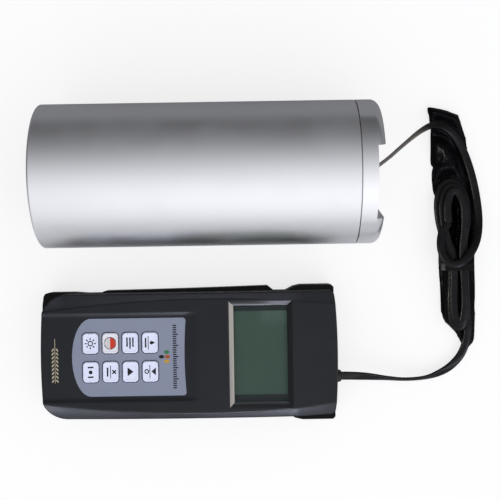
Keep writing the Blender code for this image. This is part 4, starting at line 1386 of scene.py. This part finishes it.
def floor():
    """A pale floor that looks almost white; in reflections it is grey, a painted shadow, from the
    cup's middle outwards, and pale nearer the meter.
    """
    graph = Graph("pale_floor")
    cloud = graph.noise(0.4, 2)
    path = graph.tree.nodes.new("ShaderNodeLightPath").outputs["Is Camera Ray"]
    _, y, _ = graph.split(graph.coords)
    grey = graph.mix(cloud, (0.36, 0.36, 0.365), (0.39, 0.39, 0.395))
    # Painted shadow: seen in reflections, the floor from the cup's middle outwards (+Y) is grey and
    # the floor nearer the meter is pale.
    grey = graph.mix(graph.ramp(y, CUP_MIDDLE.y, CUP_MIDDLE.y - 0.03), grey, (0.90, 0.90, 0.91))
    graph.set(Base_Color=graph.mix(path, grey, (0.4, 0.4, 0.4)), Roughness=0.9)
    graph.set(Specular_IOR_Level=0.0, Emission_Color=(1.0, 1.0, 1.0))
    graph.set(Emission_Strength=graph.math("MULTIPLY", path, 0.72))
    bm = bmesh.new()
    bmesh.ops.create_grid(bm, x_segments=2, y_segments=2, size=4)
    ground = to_object("floor", bm, graph.material)
    ground.location.z = -0.02 * MM


def camera():
    lens = bpy.data.cameras.new("camera")
    lens.lens = 63.9
    lens.clip_start = 0.01
    holder = bpy.data.objects.new("camera", lens)
    holder.location = (0.0334, 0.0568, 0.510)
    holder.rotation_euler = (0, 0, math.radians(-0.9))
    bpy.context.scene.collection.objects.link(holder)
    bpy.context.scene.camera = holder


# ---------------------------------------------------------------- assembly


def meter():
    front = moulded("front_plastic", (0.0045, 0.0052, 0.0066), 0.36, specular=0.24, wear=0.1)
    rear = moulded("rear_plastic", (0.003, 0.003, 0.0034), 0.5, specular=0.12, wear=0.1)
    bezel = moulded("bezel_plastic", (0.0050, 0.0052, 0.0060), 0.34, specular=0.35, depth=0.002 * MM)
    # Pale warm colour for the bezel faces turned towards +X: a painted reflection of a warm light.
    pale = moulded("bezel_painted_reflection", (0.24, 0.22, 0.195), 0.4, specular=0.35, depth=0.002 * MM)
    front_shell(front, bezel, rear, pale)
    keypad_overlay(overlay_film())
    white = key_silicone("key_white", (0.54, 0.56, 0.64))
    warm = key_silicone("key_warm", (0.55, 0.54, 0.55))
    for key in KEYS:
        key_piece(key, warm if key == "key_power" else white)
    dark = ink("ink_dark", (0.012, 0.012, 0.016))
    key_prints(dark, ink("ink_red", (0.8, 0.06, 0.03)), ink("ink_pale", (0.88, 0.85, 0.84)))
    inks = [dark, ink("ink_green", (0.05, 0.25, 0.08)), ink("ink_rust", (0.5, 0.12, 0.03)),
            ink("ink_amber", (0.7, 0.4, 0.05))]
    overlay_prints(dark, ink("ink_gold", (0.62, 0.55, 0.38)), inks)
    for node in ("rear_shell", "battery_cover"):
        refine(node, 0.4 * MM)
        paint(node, rear)
        frame["nodes"][node].visible_glossy = False


def inside():
    steel = metal("zinc_steel", (0.55, 0.55, 0.56), 0.3)
    rubber = moulded("black_rubber", (0.008, 0.008, 0.009), 0.55)
    insulator = moulded("insulator", (0.012, 0.012, 0.012), 0.5)
    electrode = metal("turned_electrode", (0.62, 0.61, 0.6), 0.22)
    board = circuit_board()
    finishes = {
        "display_window": clear_window(),
        "display_glass": liquid_crystal(),
        "backlight_panel": moulded("backlight", (0.7, 0.72, 0.7), 0.4),
        "main_board": board,
        "sensor_board": board,
        "key_dome_sheet": moulded("dome_film", (0.55, 0.55, 0.5), 0.35),
        "meter_gland": rubber,
        "cup_gland": rubber,
        "floor_gasket": rubber,
        "lead_tie": moulded("tie_nylon", (0.003, 0.003, 0.0033), 0.3, specular=0.12),
        "chamber_floor": insulator,
        "floor_ring": metal("ring_aluminium", (0.6, 0.6, 0.62), 0.35),
        "centre_electrode": electrode,
        "electrode_nut": steel,
        "temperature_sensor": electrode,
        "battery_contact_left": steel,
        "battery_contact_right": steel,
    }
    finishes.update({screw: steel for screw in SCREWS})
    for number in range(1, 5):
        finishes[f"battery_{number}"] = cell_sleeve(f"battery_{number}")
    for node, material in finishes.items():
        paint(node, material)
    for node in ("meter_gland", "cup_gland", "lead_tie"):
        refine(node, 0.3 * MM)


def cup():
    cup_tube(metal("satin_tube", (0.80, 0.805, 0.82), 0.36, anisotropic=0.2))
    cup_foot(metal("satin_foot", (0.80, 0.805, 0.82), 0.24, anisotropic=0.1))


meter()
inside()
cup()
lead(lead_jacket())
pouch(pouch_film())
world_light()
METER_MIDDLE = (FRONT_LOW + FRONT_HIGH) / 2
POUCH_MIDDLE = (POUCH_LOW + POUCH_HIGH) / 2
COOL = (0.85, 0.9, 1.1)
WARM = (1.0, 0.95, 0.86)
softbox("near_left", (-0.6, -1.4, 0.4), METER_MIDDLE, 0.3, 0.3, 6.5, COOL, LIT_METER)
softbox("near_right", (0.34, -1.45, 0.4), METER_MIDDLE, 0.3, 0.3, 11, COOL, LIT_METER)
softbox("dish_light", (0.1, -1.1, 1.2), METER_MIDDLE, 0.3, 0.3, 11, COOL, LIT_METER)
softbox("bezel_light", (1.43, -0.18, 0.47), METER_MIDDLE, 0.6, 0.3, 6, WARM, LIT_METER)
softbox("far_fill", (0.0, 1.4, 0.5), METER_MIDDLE, 0.9, 0.4, 11, COOL, LIT_METER)
softbox("film_left", (-0.35, 0.05, 0.75), POUCH_MIDDLE, 0.05, 0.25, 3, WARM, LIT_LEAD)
softbox("film_right", (0.6, -0.3, 0.6), POUCH_MIDDLE, 0.08, 0.2, 2, COOL, LIT_LEAD)
floor()
camera()
bpy.context.scene.view_settings.view_transform = "Standard"
